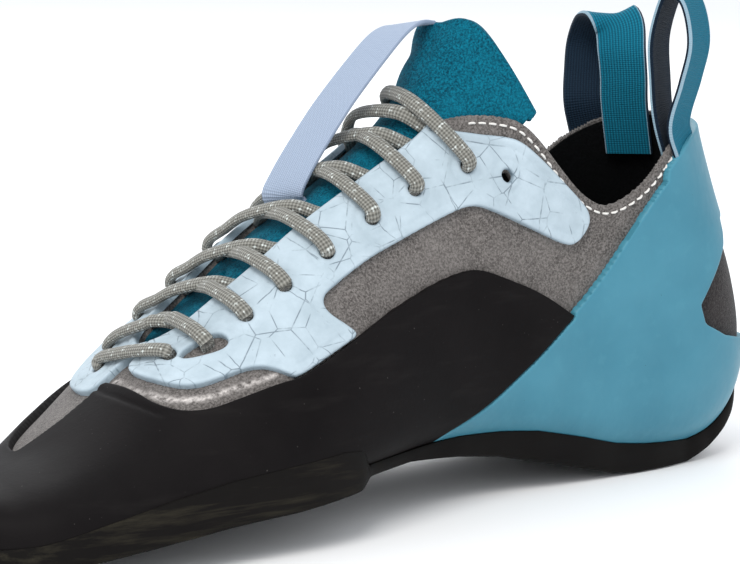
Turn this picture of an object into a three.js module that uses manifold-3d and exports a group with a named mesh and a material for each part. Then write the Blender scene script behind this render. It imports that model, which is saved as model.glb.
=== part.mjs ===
// Climbing shoe for the right foot: a laced slipper on a down-turned rubber sole.
// Millimetres, +Z up. The toe points to -X, the heel to +X, and the inner side of the foot to -Y.
// The origin is the middle of the heel's flat spot on the floor.
import * as THREE from 'three';
import { mergeVertices } from 'three/addons/utils/BufferGeometryUtils.js';
import Module from 'manifold-3d';

const wasm = await Module();
wasm.setup();

// Driving sizes of the last
const LENGTH = 234;          // back of the heel to the tip of the toe
const HEEL_REACH = 34.5;     // origin to the back of the heel
const BALL_WIDTH = 80;       // across the joints
const HEEL_WIDTH = 52;       // across the heel
const INSTEP_HEIGHT = 100;   // top of the instep above the sole
const ARCH_RISE = 13;        // underside of the arch above the floor
const SOLE = 5;              // sole under the heel

// Thicknesses and clearances
const WALL = 2;              // suede with its lining
const RUBBER = 1.8;          // rands
const EYESTAY = 1.2;
const TONGUE = 2;
const INSOLE = 2;
const SPINE = 2.4;           // rubber strip up the back of the heel
const GAP = 0.3;             // between pieces that touch

// Openings, lace and trim
const THROAT_WIDTH = 25;
const INSTEP_RUN = 110;      // length of the instep line from the toe's edge to the collar
const INSTEP_ANGLE = 38 * Math.PI / 180;
const TONGUE_WIDTH = 42;
const EYELET = 3.6;
const LACE = 3.2;
const LABEL_WIDTH = 12;
const LABEL = 1;
const LOOP_WIDTH = 12;
const LOOP_HEIGHT = 32;      // pull loop above the collar
const TAPE = 1.2;
const SPINE_WIDTH = 13;
const WINDOW_SHARE = 0.62;   // hole in the upper's bottom, as a share of its width

const inBall = BALL_WIDTH;
const inHeel = HEEL_WIDTH;

// One row for each section of the last, from the toe tip over the heel to the collar.
// bottomAt, topAt: distance from the back of the heel, as a share of the length.
// arch, rise: height of the bottom, as shares of the arch rise and of the instep height.
// topUp: height of the top, as a share of the instep height.
// middle, half, ridge: side offset, half width and offset of the crest, as shares of a width.
// level: how far up the section it is widest. low, high: roundness below and above that level.
const SECTIONS = [
  // bottomAt arch   rise   topAt  topUp  middle  half   ridge   level low  high  width
  [0.989, 0.50, 0.000, 0.989, 0.065, -0.225, 0.000, 0.000, 0.45, 2.6, 2.0, inBall],
  [0.977, 0.25, 0.000, 0.977, 0.105, -0.212, 0.131, -0.025, 0.42, 2.8, 2.0, inBall],
  [0.934, 0.11, 0.000, 0.934, 0.125, -0.175, 0.250, -0.060, 0.40, 3.2, 1.9, inBall],
  [0.865, 0.10, 0.000, 0.878, 0.165, -0.125, 0.338, -0.100, 0.38, 3.6, 1.85, inBall],
  [0.784, 0.19, 0.000, 0.814, 0.240, -0.056, 0.425, -0.100, 0.34, 3.8, 1.8, inBall],
  [0.703, 0.41, 0.000, 0.744, 0.360, 0.000, 0.481, -0.100, 0.31, 3.8, 1.8, inBall],
  [0.618, 0.615, 0.000, 0.673, 0.485, 0.025, 0.500, -0.100, 0.30, 3.6, 1.8, inBall],
  [0.532, 0.73, 0.000, 0.603, 0.620, 0.040, 0.459, -0.088, 0.31, 3.4, 1.8, inBall],
  [0.447, 0.73, 0.000, 0.532, 0.735, 0.030, 0.381, -0.062, 0.33, 3.3, 1.85, inBall],
  [0.361, 0.577, 0.000, 0.472, 0.840, 0.029, 0.510, -0.058, 0.35, 3.3, 1.95, inHeel],
  [0.284, 0.31, 0.000, 0.442, 0.915, 0.010, 0.481, -0.038, 0.37, 3.5, 2.0, inHeel],
  [0.207, 0.04, 0.000, 0.423, 0.975, 0.010, 0.471, 0.000, 0.38, 3.9, 2.05, inHeel],
  [0.130, 0.00, 0.000, 0.412, 1.015, 0.000, 0.471, 0.000, 0.40, 4.2, 2.1, inHeel],
  [0.068, 0.00, 0.018, 0.406, 1.045, 0.000, 0.481, 0.000, 0.40, 3.8, 2.2, inHeel],
  [0.028, 0.00, 0.090, 0.402, 1.065, 0.000, 0.490, 0.000, 0.40, 3.2, 2.2, inHeel],
  [0.011, 0.00, 0.215, 0.400, 1.080, 0.000, 0.500, 0.000, 0.40, 2.7, 2.2, inHeel],
  [0.021, 0.00, 0.355, 0.398, 1.095, 0.000, 0.500, 0.000, 0.40, 2.5, 2.2, inHeel],
  [0.041, 0.00, 0.500, 0.396, 1.110, 0.000, 0.490, 0.000, 0.42, 2.3, 2.2, inHeel],
  [0.062, 0.00, 0.640, 0.393, 1.125, 0.000, 0.480, 0.000, 0.45, 2.2, 2.2, inHeel],
  [0.079, 0.00, 0.780, 0.391, 1.140, 0.000, 0.471, 0.000, 0.48, 2.1, 2.2, inHeel],
  [0.086, 0.00, 0.920, 0.389, 1.170, 0.000, 0.471, 0.000, 0.50, 2.0, 2.2, inHeel],
];
const LAST_ROW = SECTIONS.length - 1;

// Sole, one row for each station from the toe to the back of the heel.
// at: share of the length. inner, middle, outer: underside, as shares of the arch rise.
// innerBand, outerBand: height of the side wall above the underside, as shares of the sole.
const SOLE_ROWS = [
  // at   inner  middle outer innerBand outerBand
  [1.03, 0.45, 0.45, 0.45, 0.90, 0.90],
  [0.98, 0.25, 0.20, 0.25, 1.20, 1.20],
  [0.94, 0.28, -0.08, 0.17, 1.35, 1.30],
  [0.86, 0.47, -0.08, 0.22, 1.70, 1.45],
  [0.81, 0.58, 0.04, 0.28, 1.95, 1.45],
  [0.75, 0.70, 0.25, 0.33, 2.10, 1.45],
  [0.68, 0.77, 0.46, 0.42, 2.20, 1.45],
  [0.62, 0.88, 0.66, 0.55, 2.15, 1.40],
  [0.595, 0.92, 0.72, 0.60, 1.90, 1.30],
  [0.575, 1.04, 0.92, 0.72, 0.60, 0.95],
  [0.50, 1.06, 0.96, 0.74, 0.55, 0.95],
  [0.43, 0.94, 0.88, 0.66, 1.05, 1.05],
  [0.37, 0.80, 0.72, 0.54, 1.30, 1.15],
  [0.32, 0.59, 0.52, 0.40, 1.60, 1.30],
  [0.26, 0.34, 0.27, 0.24, 1.55, 1.35],
  [0.21, 0.13, 0.02, 0.10, 1.40, 1.35],
  [0.17, 0.04, -0.04, 0.04, 1.35, 1.35],
  [0.10, 0.04, -0.04, 0.04, 1.10, 1.10],
  [0.068, 0.25, 0.20, 0.25, 1.00, 1.00],
  [0.045, 0.55, 0.55, 0.55, 1.05, 1.05],
  [0.02, 1.00, 1.00, 1.00, 1.00, 1.00],
  [-0.02, 1.75, 1.75, 1.75, 1.00, 1.00],
];

// Outlines seen from the side, as shares of the length and of the instep height above the sole.
const INNER_RIM = [
  [0.446, 0.856], [0.423, 0.862], [0.403, 0.868], [0.375, 0.866], [0.350, 0.852], [0.332, 0.815],
  [0.308, 0.742], [0.285, 0.680], [0.265, 0.648], [0.248, 0.640], [0.228, 0.656], [0.205, 0.692],
  [0.172, 0.768], [0.140, 0.815], [0.105, 0.835], [0.050, 0.845], [-0.05, 0.850],
];
const OUTER_RIM = [
  [0.446, 0.840], [0.423, 0.845], [0.400, 0.845], [0.372, 0.835], [0.348, 0.810], [0.328, 0.765],
  [0.305, 0.690], [0.283, 0.625], [0.263, 0.588], [0.245, 0.575], [0.226, 0.582], [0.203, 0.612],
  [0.172, 0.680], [0.140, 0.748], [0.105, 0.802], [0.050, 0.840], [-0.050, 0.850],
];
const INNER_RAND = [
  [0.793, 0.42], [0.790, 0.300], [0.784, 0.290], [0.771, 0.285], [0.750, 0.291], [0.728, 0.306],
  [0.681, 0.338], [0.660, 0.344], [0.626, 0.377], [0.587, 0.411], [0.542, 0.454], [0.506, 0.479],
  [0.470, 0.505], [0.440, 0.519], [0.424, 0.522], [0.408, 0.515], [0.390, 0.499], [0.337, 0.449],
  [0.292, 0.382],
];
const OUTER_RAND = [
  [0.900, 0.30], [0.890, 0.165], [0.860, 0.150], [0.810, 0.165], [0.760, 0.195], [0.700, 0.230],
  [0.640, 0.265], [0.590, 0.300], [0.540, 0.345], [0.490, 0.390], [0.450, 0.415], [0.425, 0.420],
  [0.400, 0.410], [0.340, 0.370], [0.300, 0.330],
];
const INNER_JOIN = [[0.343, 0.288], [0.395, 0.203], [0.430, 0.162], [0.463, 0.128], [0.480, 0.05]];
const OUTER_JOIN = [[0.345, 0.255], [0.395, 0.185], [0.430, 0.145], [0.463, 0.110], [0.480, 0.03]];
const INNER_HEEL = [
  [0.287, 0.404], [0.270, 0.443], [0.239, 0.529], [0.217, 0.599], [0.196, 0.663], [0.178, 0.704],
];
const OUTER_HEEL = [
  [0.293, 0.360], [0.272, 0.400], [0.240, 0.480], [0.217, 0.550], [0.196, 0.615], [0.178, 0.665],
];
const HEEL_WINDOW = [[0.085, 0.590], [0.083, 0.535], [0.101, 0.469], [0.132, 0.344], [0.062, 0.267], [-0.05, 0.245], [-0.05, 0.600]];

// Outlines on the slope of the instep, in millimetres of a run of 110: along the instep line and round the side.
const EYESTAY_OUTLINE = [
  [13.2, 2], [12.2, 4], [12.2, 8], [14, 15], [17, 18.5], [21, 20.8], [27, 23.5], [30, 26], [32, 29.5],
  [33.4, 33], [35, 34.4], [37, 34.6], [44, 35.2], [53, 36.3], [52, 32], [51, 28.5], [51.2, 26], [53, 24.3],
  [56, 24], [68.5, 25], [77, 26.8], [87, 29], [95, 31], [98.5, 32.6], [101, 35], [107, 44], [111.5, 52],
  [113.5, 54.6], [116, 55.4], [120, 54.8], [122, 53.5], [122.6, 51], [121.5, 44], [120.2, 35], [119, 30],
  [116, 26], [111, 21], [107, 17], [104, 10], [104, 0], [60, -2], [30, -3], [22, 1.2], [17, 1.5],
];
const EYESTAY_SLOT = [[21.5, 9.4], [28.5, 11.6], [30.4, 13], [30.6, 15.4], [29, 16.8], [26, 15.8], [20.2, 11.4]];
const EYELETS = [[20, 8], [26.8, 12.8], [37.5, 14.8], [49, 16.2], [62, 17.6], [76.6, 19], [90, 21], [104, 25.6], [111, 33.5]];
const SIDE_TILT = 50 * Math.PI / 180;
const SIDE_REACH = 0.6 * INSTEP_HEIGHT;      // how far out from the slope its cutters go
const OUTER_SHIFT = 8;       // the outer row of eyelets starts this much nearer the toe
const shiftOf = (side) => (side > 0 ? OUTER_SHIFT : 0);

// Throat: along, middle and half width, as shares of the run and of the throat's width.
const THROAT = [
  [0.185, 0.10, 0.00], [0.200, 0.09, 0.16], [0.222, 0.09, 0.26], [0.255, 0.08, 0.34], [0.345, 0.08, 0.39],
  [0.455, 0.05, 0.45], [0.570, 0.04, 0.465], [0.780, 0.02, 0.470], [0.900, 0.01, 0.490], [1.000, 0.00, 0.510],
  [1.750, 0.00, 0.510],
];
// Tongue: along and half width, as shares of the run and of the tongue's width.
const TONGUE_ROWS = [
  [0.150, 0.20], [0.165, 0.30], [0.200, 0.36], [0.300, 0.42], [0.600, 0.48], [0.850, 0.51], [1.050, 0.51],
  [1.110, 0.49], [1.145, 0.44], [1.163, 0.34], [1.172, 0.18], [1.175, 0.04],
];

const COLOURS = {
  suede: 0x7c7672,
  rubber: 0x1f1c1d,
  teal: 0x4f93a6,
  microfibre: 0xc9dbe6,
  tongue: 0x1c6f83,
  lace: 0x8f8f86,
  label: 0xaab2cf,
  board: 0x3a3836,
  tape: 0x2b7f95,
};

const along = (share) => HEEL_REACH - share * LENGTH;
const above = (share) => SOLE + share * INSTEP_HEIGHT;

// Value of a table's columns between two rows, with smooth slopes.
function smooth(rows, place) {
  const i = Math.min(Math.max(Math.floor(place), 0), rows.length - 2);
  const t = place - i;
  const [b, c] = [rows[i], rows[i + 1]];
  const a = i > 0 ? rows[i - 1] : b.map((value, k) => 2 * value - c[k]);
  const d = i + 2 < rows.length ? rows[i + 2] : c.map((value, k) => 2 * value - b[k]);
  return b.map((value, k) => value + 0.5 * t * ((c[k] - a[k])
    + t * ((2 * a[k] - 5 * value + 4 * c[k] - d[k]) + t * (3 * (value - c[k]) + d[k] - a[k]))));
}

// Value of a table's other columns at a place in its first column, on straight lines.
function lookUp(rows, at) {
  const rising = rows[1][0] > rows[0][0];
  let i = 0;
  while (i < rows.length - 2 && (rising ? at > rows[i + 1][0] : at < rows[i + 1][0])) i += 1;
  const share = Math.min(Math.max((at - rows[i][0]) / (rows[i + 1][0] - rows[i][0]), 0), 1);
  return rows[i].map((value, k) => value + share * (rows[i + 1][k] - value));
}

// The sections in millimetres.
const SIZED = SECTIONS.map(([bottomAt, arch, rise, topAt, topUp, middle, half, ridge, level, low, high, width]) => [
  along(bottomAt), SOLE + arch * ARCH_RISE + rise * INSTEP_HEIGHT, along(topAt), above(topUp),
  middle * width, half * width, ridge * width, level, low, high,
]);

// Point of the last: u counts the sections, turn goes round from the bottom to the outer side.
function onLast(u, turn) {
  const [bottomX, bottomZ, topX, topZ, middle, half, ridge, level, low, high] = smooth(SIZED, u);
  const down = Math.cos(turn);
  const side = Math.sin(turn);
  const power = down > 0 ? low : high;
  const radius = (Math.abs(down) ** power + Math.abs(side) ** power) ** (-1 / power);
  const up = level - (down > 0 ? level : 1 - level) * radius * down;
  const lean = down > 0 ? 0 : ridge * (radius * down) ** 2;
  return new THREE.Vector3(
    bottomX + up * (topX - bottomX), middle + half * radius * side + lean, bottomZ + up * (topZ - bottomZ),
  );
}

// Point at a distance outside the last, square to its surface.
function offLast(u, turn, offset) {
  const step = 0.002;
  const alongU = onLast(u + step, turn).sub(onLast(u - step, turn));
  const alongTurn = onLast(u, turn + step).sub(onLast(u, turn - step));
  const outward = alongTurn.cross(alongU).normalize();
  return onLast(u, turn).addScaledVector(outward, offset);
}

function solid(points, faces) {
  return new wasm.Manifold(new wasm.Mesh({
    numProp: 3,
    vertProperties: new Float32Array(points.flatMap((point) => [point.x, point.y, point.z])),
    triVerts: new Uint32Array(faces.flat()),
  }));
}

// Closed solid from rings of points, each ring closed, with flat ends or end points.
function ringSolid(rings, first, last) {
  const count = rings[0].length;
  const points = rings.flat();
  const faces = [];
  for (let i = 0; i < rings.length - 1; i += 1) {
    for (let j = 0; j < count; j += 1) {
      const a = i * count + j;
      const b = i * count + (j + 1) % count;
      faces.push([a, b, b + count], [a, b + count, a + count]);
    }
  }
  const middleOf = (ring) => ring.reduce((sum, p) => sum.add(p), new THREE.Vector3()).divideScalar(count);
  points.push(first ?? middleOf(rings[0]), last ?? middleOf(rings.at(-1)));
  const start = (rings.length - 1) * count;
  for (let j = 0; j < count; j += 1) {
    faces.push([points.length - 2, (j + 1) % count, j]);
    faces.push([points.length - 1, start + j, start + (j + 1) % count]);
  }
  const body = solid(points, faces);
  return body.volume() > 0 ? body : solid(points, faces.map(([a, b, c]) => [a, c, b]));
}

const TURNS = 26;
// Sections follow each other closely at the toe and round the heel.
const STATIONS = [0.3, 0.65];
for (let u = 1; u < 3; u += 0.5) STATIONS.push(u);
for (let u = 3; u < 11.5; u += 0.7) STATIONS.push(u);
for (let u = 12; u < 16; u += 0.5) STATIONS.push(u);
for (let u = 16; u <= LAST_ROW; u += 1) STATIONS.push(u);

// The whole last, grown or shrunk. Reach lengthens it past the collar.
function form(offset, reach = 0) {
  const rings = STATIONS.map((u) => {
    const place = u === LAST_ROW ? u + reach : u;
    return Array.from({ length: TURNS }, (_, j) => offLast(place, (j / TURNS) * 2 * Math.PI, offset));
  });
  const tip = onLast(0, 0);
  tip.x -= offset;
  return ringSolid(rings, tip);
}

function layer(inside, outside) {
  return form(outside).subtract(form(inside, 0.2));
}

// Solid between two parallel copies of an outline. place turns an outline point and a depth into space.
function prism(outline, from, to, place) {
  const shape = new THREE.Shape(outline.map(([a, b]) => new THREE.Vector2(a, b)));
  const geometry = new THREE.ExtrudeGeometry(shape, { depth: to - from, bevelEnabled: false });
  geometry.deleteAttribute('normal');
  geometry.deleteAttribute('uv');
  const merged = mergeVertices(geometry, 1e-5);
  const position = merged.getAttribute('position');
  const points = [];
  for (let i = 0; i < position.count; i += 1) {
    points.push(place(position.getX(i), position.getY(i), position.getZ(i) + from));
  }
  const faces = [];
  for (let i = 0; i < merged.index.count; i += 3) {
    faces.push([merged.index.getX(i), merged.index.getX(i + 1), merged.index.getX(i + 2)]);
  }
  const body = solid(points, faces);
  return body.volume() > 0 ? body : solid(points, faces.map(([a, b, c]) => [a, c, b]));
}

const REACH_SIDE = BALL_WIDTH;
const sidePrism = (outline, from, to) => prism(
  outline.map(([at, up]) => [along(at), above(up)]), from, to, (x, z, y) => new THREE.Vector3(x, y, z),
);
const planPrism = (outline, from, to) => prism(outline, from, to, (x, y, z) => new THREE.Vector3(x, y, z));

// Directions of the instep line
const INSTEP_START = new THREE.Vector3(along(0.814), 0, above(0.25));
const UPHILL = new THREE.Vector3(Math.cos(INSTEP_ANGLE), 0, Math.sin(INSTEP_ANGLE));
const OFF_INSTEP = new THREE.Vector3(-Math.sin(INSTEP_ANGLE), 0, Math.cos(INSTEP_ANGLE));
const SIDEWAYS = new THREE.Vector3(0, 1, 0);

const instepPrism = (outline, from, to) => prism(outline, from, to, (run, y, height) => INSTEP_START.clone()
  .addScaledVector(UPHILL, run).addScaledVector(SIDEWAYS, y).addScaledVector(OFF_INSTEP, height));

// Directions seen from the side of the instep: round is measured down that side, out points away from it.
function sideFrame(side) {
  return {
    round: OFF_INSTEP.clone().multiplyScalar(-Math.sin(SIDE_TILT)).addScaledVector(SIDEWAYS, side * Math.cos(SIDE_TILT)),
    out: OFF_INSTEP.clone().multiplyScalar(Math.cos(SIDE_TILT)).addScaledVector(SIDEWAYS, side * Math.sin(SIDE_TILT)),
  };
}

function slopePrism(outline, side, from, to) {
  const { round, out } = sideFrame(side);
  const scale = INSTEP_RUN / 110;
  return prism(outline.map(([run, down]) => [run * scale, down]), from, to, (run, down, height) => INSTEP_START.clone()
    .addScaledVector(UPHILL, run).addScaledVector(round, down).addScaledVector(out, height));
}

function circle(x, y, radius, sides) {
  return Array.from({ length: sides }, (_, i) => {
    const angle = (i / sides) * 2 * Math.PI;
    return [x + radius * Math.cos(angle), y + radius * Math.sin(angle)];
  });
}

// Everything below a surface given by its height over the floor plan.
function underSurface(height) {
  const columns = SOLE_ROWS.map(([at]) => along(at));
  const lanes = [-1, -0.6, -0.35, -0.15, 0, 0.15, 0.35, 0.6, 1].map((share) => share * BALL_WIDTH / 2 * 1.3);
  const floor = -4 * SOLE;
  const rings = columns.map((x) => [
    ...lanes.map((y) => new THREE.Vector3(x, y, height(x, y))),
    ...lanes.toReversed().map((y) => new THREE.Vector3(x, y, floor)),
  ]);
  return ringSolid(rings);
}

const heelShare = (x) => (HEEL_REACH - x) / LENGTH;
// How far y is from the sole's middle, from -1 at the inner edge to 1 at the outer edge.
const acrossSole = (y) => Math.min(Math.max(y / (BALL_WIDTH * 0.42), -1), 1);

function underside(x, y) {
  const [, inner, middle, outer] = lookUp(SOLE_ROWS, heelShare(x));
  const across = acrossSole(y);
  return ARCH_RISE * (middle + ((across < 0 ? inner : outer) - middle) * across ** 2);
}

function wallTop(x, y) {
  const [, inner, , outer, innerBand, outerBand] = lookUp(SOLE_ROWS, heelShare(x));
  const share = (acrossSole(y) + 1) / 2;
  const innerTop = inner * ARCH_RISE + innerBand * SOLE;
  const outerTop = outer * ARCH_RISE + outerBand * SOLE;
  return innerTop + share * (outerTop - innerTop);
}

// Where the grown last passes the top edge of the sole's side wall.
function soleOutline(offset) {
  const edges = { inner: [], outer: [] };
  for (let u = 0.5; u <= 15; u += 0.25) {
    for (const [name, side] of [['inner', -1], ['outer', 1]]) {
      const isBelow = (turn) => {
        const point = offLast(u, side * turn, offset);
        return point.z < wallTop(point.x, point.y);
      };
      if (isBelow(0.02)) {
        let [lowTurn, highTurn] = [0.02, Math.PI / 2];
        for (let step = 0; step < 24; step += 1) {
          const turn = (lowTurn + highTurn) / 2;
          if (isBelow(turn)) lowTurn = turn; else highTurn = turn;
        }
        const point = offLast(u, side * lowTurn, offset);
        edges[name].push([point.x, point.y]);
      }
    }
  }
  return [...edges.inner, ...edges.outer.toReversed()];
}

const SIDE_OFFSET = 2 * GAP + RUBBER;

function outsole() {
  const blank = planPrism(soleOutline(SIDE_OFFSET), 0, INSTEP_HEIGHT / 2);
  return blank.intersect(underSurface(wallTop)).subtract(underSurface(underside)).subtract(form(GAP));
}

// Everything above the sole's side wall stays.
const aboveSole = (body) => body.subtract(underSurface((x, y) => wallTop(x, y) + GAP));

// The black rand's share of the side, grown by a margin behind and over its border.
function randRegion(margin) {
  const border = (rand, join, front) => [
    [1.1, -0.15], [1.1, front],
    ...rand.map(([at, up]) => [at - margin / LENGTH, up + margin / INSTEP_HEIGHT]),
    ...[rand.at(-1), ...join].map(([at, up]) => [at - margin / LENGTH, up - margin / INSTEP_HEIGHT]),
  ];
  return sidePrism(border(INNER_RAND, INNER_JOIN, 0.42), -REACH_SIDE, GAP)
    .add(sidePrism(border(OUTER_RAND, OUTER_JOIN, 0.30), GAP, REACH_SIDE));
}

// Side of the throat's edge at a run up the instep.
function throatEdge(run, side) {
  const [, middle, half] = lookUp(THROAT, run / INSTEP_RUN);
  return (middle + side * half) * THROAT_WIDTH;
}

function throatCut() {
  const edge = (side) => THROAT.map(([run]) => [run * INSTEP_RUN, throatEdge(run * INSTEP_RUN, side)]);
  return instepPrism([...edge(1), ...edge(-1).toReversed().slice(0, -1)], -0.18 * INSTEP_HEIGHT, 0.7 * INSTEP_HEIGHT);
}

function collarCut(raise = 0) {
  const region = (rim) => [[0.47, 1.7], ...rim.map(([at, up]) => [at, up + raise / INSTEP_HEIGHT]), [-0.05, 1.7]];
  return sidePrism(region(INNER_RIM), -REACH_SIDE, 0).add(sidePrism(region(OUTER_RIM), 0, REACH_SIDE));
}

function eyeletPins(side) {
  return EYELETS.map(([run, down]) => slopePrism(circle(run - shiftOf(side), down, EYELET / 2, 8), side, 0, SIDE_REACH))
    .reduce((all, pin) => all.add(pin));
}

function upper() {
  const bottomWindow = planPrism(
    soleOutline(-WALL).map(([x, y]) => [along(0.5) + (x - along(0.5)) * 0.86, y * WINDOW_SHARE - 2]),
    -SOLE, SOLE + ARCH_RISE * 1.3,
  );
  return form(0).subtract(form(-WALL, 0.2)).subtract(throatCut()).subtract(collarCut())
    .subtract(bottomWindow).subtract(eyeletPins(-1)).subtract(eyeletPins(1));
}

const seatHeight = (x) => {
  const rows = SIZED.slice(0, 15).map(([bottomX, bottomZ]) => [bottomX, bottomZ]);
  return lookUp(rows, x)[1];
};

function insole() {
  const top = underSurface((x) => seatHeight(x) + WALL + GAP + INSOLE);
  const length = planPrism([[along(0.95), -REACH_SIDE], [along(0.05), -REACH_SIDE], [along(0.05), REACH_SIDE],
    [along(0.95), REACH_SIDE]], 0, INSTEP_HEIGHT);
  return form(-WALL - GAP).intersect(top).intersect(length);
}

function tongue() {
  const edge = (side) => TONGUE_ROWS.map(([run, half]) => [run * INSTEP_RUN, side * half * TONGUE_WIDTH]);
  const outline = instepPrism([...edge(1), ...edge(-1).toReversed()], -0.22 * INSTEP_HEIGHT, 0.6 * INSTEP_HEIGHT);
  return layer(-WALL - GAP - TONGUE, -WALL - GAP).intersect(outline);
}

function sideRand() {
  return aboveSole(layer(GAP, GAP + RUBBER)).intersect(randRegion(0));
}

function spineRegion(margin) {
  const half = SPINE_WIDTH / 2 + margin;
  return sidePrism([[0.12, -0.1], [0.12, 0.61 + margin / INSTEP_HEIGHT], [-0.1, 0.61 + margin / INSTEP_HEIGHT], [-0.1, -0.1]],
    -half, half);
}

function heelRand() {
  const region = (points) => [...points, [0.178, 1.0], [-0.1, 1.0], [-0.1, -0.15], [0.52, -0.15]];
  const inner = sidePrism(region([...INNER_JOIN.toReversed(), ...INNER_HEEL]), -REACH_SIDE, 0);
  const outer = sidePrism(region([...OUTER_JOIN.toReversed(), ...OUTER_HEEL]), 0, REACH_SIDE);
  return aboveSole(layer(GAP, GAP + RUBBER)).intersect(inner.add(outer)).subtract(randRegion(GAP))
    .subtract(collarCut(-2.5)).subtract(sidePrism(HEEL_WINDOW, -REACH_SIDE, REACH_SIDE)).subtract(spineRegion(GAP));
}

function spineStrip() {
  return aboveSole(layer(GAP, GAP + SPINE)).intersect(spineRegion(0));
}

function eyestay(side) {
  const shifted = (outline) => outline.map(([run, down]) => [run - shiftOf(side), down]);
  const outline = slopePrism(shifted(EYESTAY_OUTLINE), side, 0, SIDE_REACH);
  const slot = slopePrism(shifted(EYESTAY_SLOT), side, 0, SIDE_REACH);
  return layer(GAP, GAP + EYESTAY).intersect(outline).subtract(throatCut()).subtract(slot)
    .subtract(eyeletPins(side)).subtract(randRegion(GAP)).subtract(collarCut(-2));
}

// Section count and turn of the point at a run up the instep and a distance to the side.
function underPoint(run, y, offset) {
  let [u, turn] = [4 + run / 18, Math.PI - y / 40];
  for (let step = 0; step < 12; step += 1) {
    const miss = (a, b) => {
      const point = offLast(a, b, offset).sub(INSTEP_START);
      return [point.dot(UPHILL) - run, point.y - y];
    };
    const [m0, m1] = miss(u, turn);
    const [du0, du1] = miss(u + 0.01, turn).map((value, k) => (value - [m0, m1][k]) / 0.01);
    const [dt0, dt1] = miss(u, turn + 0.01).map((value, k) => (value - [m0, m1][k]) / 0.01);
    const det = du0 * dt1 - dt0 * du1;
    u -= Math.min(Math.max((m0 * dt1 - dt0 * m1) / det, -1), 1);
    turn -= Math.min(Math.max((du0 * m1 - m0 * du1) / det, -0.3), 0.3);
  }
  return offLast(u, turn, offset);
}

// Round cord along points, with flat ends.
function cord(points, diameter, steps) {
  const curve = new THREE.CatmullRomCurve3(points);
  const frames = curve.computeFrenetFrames(steps, false);
  const rings = Array.from({ length: steps + 1 }, (_, i) => {
    const centre = curve.getPointAt(i / steps);
    return Array.from({ length: 6 }, (_unused, j) => {
      const angle = (j / 6) * 2 * Math.PI;
      return centre.clone().addScaledVector(frames.normals[i], Math.cos(angle) * diameter / 2)
        .addScaledVector(frames.binormals[i], Math.sin(angle) * diameter / 2);
    });
  });
  return ringSolid(rings);
}

const OVER_EDGE = GAP + EYESTAY + GAP + LACE / 2;
const ON_TONGUE = -WALL + LACE / 2;

// How far above the eyelet that it enters each strand comes out under the other edge of the throat.
const INNER_RISE = [0, 3.5, 4.5, 4.5, 4.5, 7, 7, 7];
const OUTER_RISE = [0, 13, 17, 18, 18.5, 19, 18.5, 12.5];
// Side distance of each eyelet from the middle of the instep.
const EYELET_SIDES = [13.5, 17, 19, 19.6, 19.6, 18.8, 18.4, 19.6];

// One strand, from under one edge of the throat, over the other edge, to an eyelet.
function laceStrand(index, side, rise) {
  const target = EYELETS[index][0] - shiftOf(side);
  const start = target + rise;
  const from = throatEdge(start, -side) + side * (LACE / 2 + 2 * GAP);
  const edge = throatEdge(target, side);
  const stops = [[from, ON_TONGUE + 0.1], [from * 0.5, ON_TONGUE + 1], [edge * 0.45, OVER_EDGE - 0.5],
    [edge, OVER_EDGE + 0.3], [(edge + side * EYELET_SIDES[index]) / 2, OVER_EDGE], [side * EYELET_SIDES[index], OVER_EDGE]];
  return cord(stops.map(([y, height]) => {
    const share = (y - from) / (side * EYELET_SIDES[index] - from);
    return underPoint(start + share * (target - start), y, height);
  }), LACE, 8);
}

const laceCrossing = (index) => laceStrand(index, -1, INNER_RISE[index]).add(laceStrand(index, 1, OUTER_RISE[index]));

function laceBar() {
  const stops = [-1, -0.6, -0.2, 0.2, 0.6, 1];
  return cord(stops.map((share) => underPoint(
    EYELETS[0][0] - OUTER_SHIFT * (share + 1) / 2, share * EYELET_SIDES[0], OVER_EDGE + 0.4,
  )), LACE, 8);
}

// Flat strip along a path, with the direction of its width at each point.
function strip(points, across, width, thickness) {
  const rings = points.map((point, i) => {
    const before = points[Math.max(i - 1, 0)];
    const after = points[Math.min(i + 1, points.length - 1)];
    const direction = after.clone().sub(before).normalize();
    const normal = direction.clone().cross(across[i]).normalize();
    const corner = (a, b) => point.clone().addScaledVector(across[i], a * width / 2).addScaledVector(normal, b * thickness / 2);
    return [corner(-1, -1), corner(1, -1), corner(1, 1), corner(-1, 1)];
  });
  return ringSolid(rings);
}

// Label: run up the instep, side offset and height over the last.
const LABEL_ROWS = [
  [70.4, 4.5, -1.2], [70.2, 4.5, 0.8], [70.8, 4.5, 3.2], [72.8, 4.5, 4.9], [76, 4.5, 6.2], [80, 4.5, 7.2], [84.5, 4.5, 8.2],
  [90, 4.5, 9.8], [95.5, 4.5, 11.1], [102.5, 4.5, 11.7], [108, 4.5, 11.4], [113.6, 4.5, 10.3], [118.5, 4.5, 8.2],
  [123, 4.5, 4.6], [126.4, 4.5, -0.6],
];

function label() {
  const across = new THREE.Vector3(-0.26, 0.945, -0.2).normalize();
  const points = LABEL_ROWS.map(([run, y, height]) => underPoint(run, y, height));
  return strip(points, points.map(() => across), LABEL_WIDTH, LABEL);
}

// Point on the heel's wall at a height and a turn from its back.
function onHeel(height, turn, offset) {
  let [low, high] = [14, LAST_ROW];
  for (let step = 0; step < 24; step += 1) {
    const u = (low + high) / 2;
    if (offLast(u, turn, offset).z < height) low = u; else high = u;
  }
  return offLast(low, turn, offset);
}

// Pull loops. inTurn and outTurn: places round the heel of the two branches. bow: how far they stand apart.
const LOOP_SIDES = {
  inner: { inTurn: -1.05, outTurn: -1.12, bow: 0.9, height: LOOP_HEIGHT },
  outer: { inTurn: 0.45, outTurn: 0.84, bow: 1.7, height: LOOP_HEIGHT - 10 },
};

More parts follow.
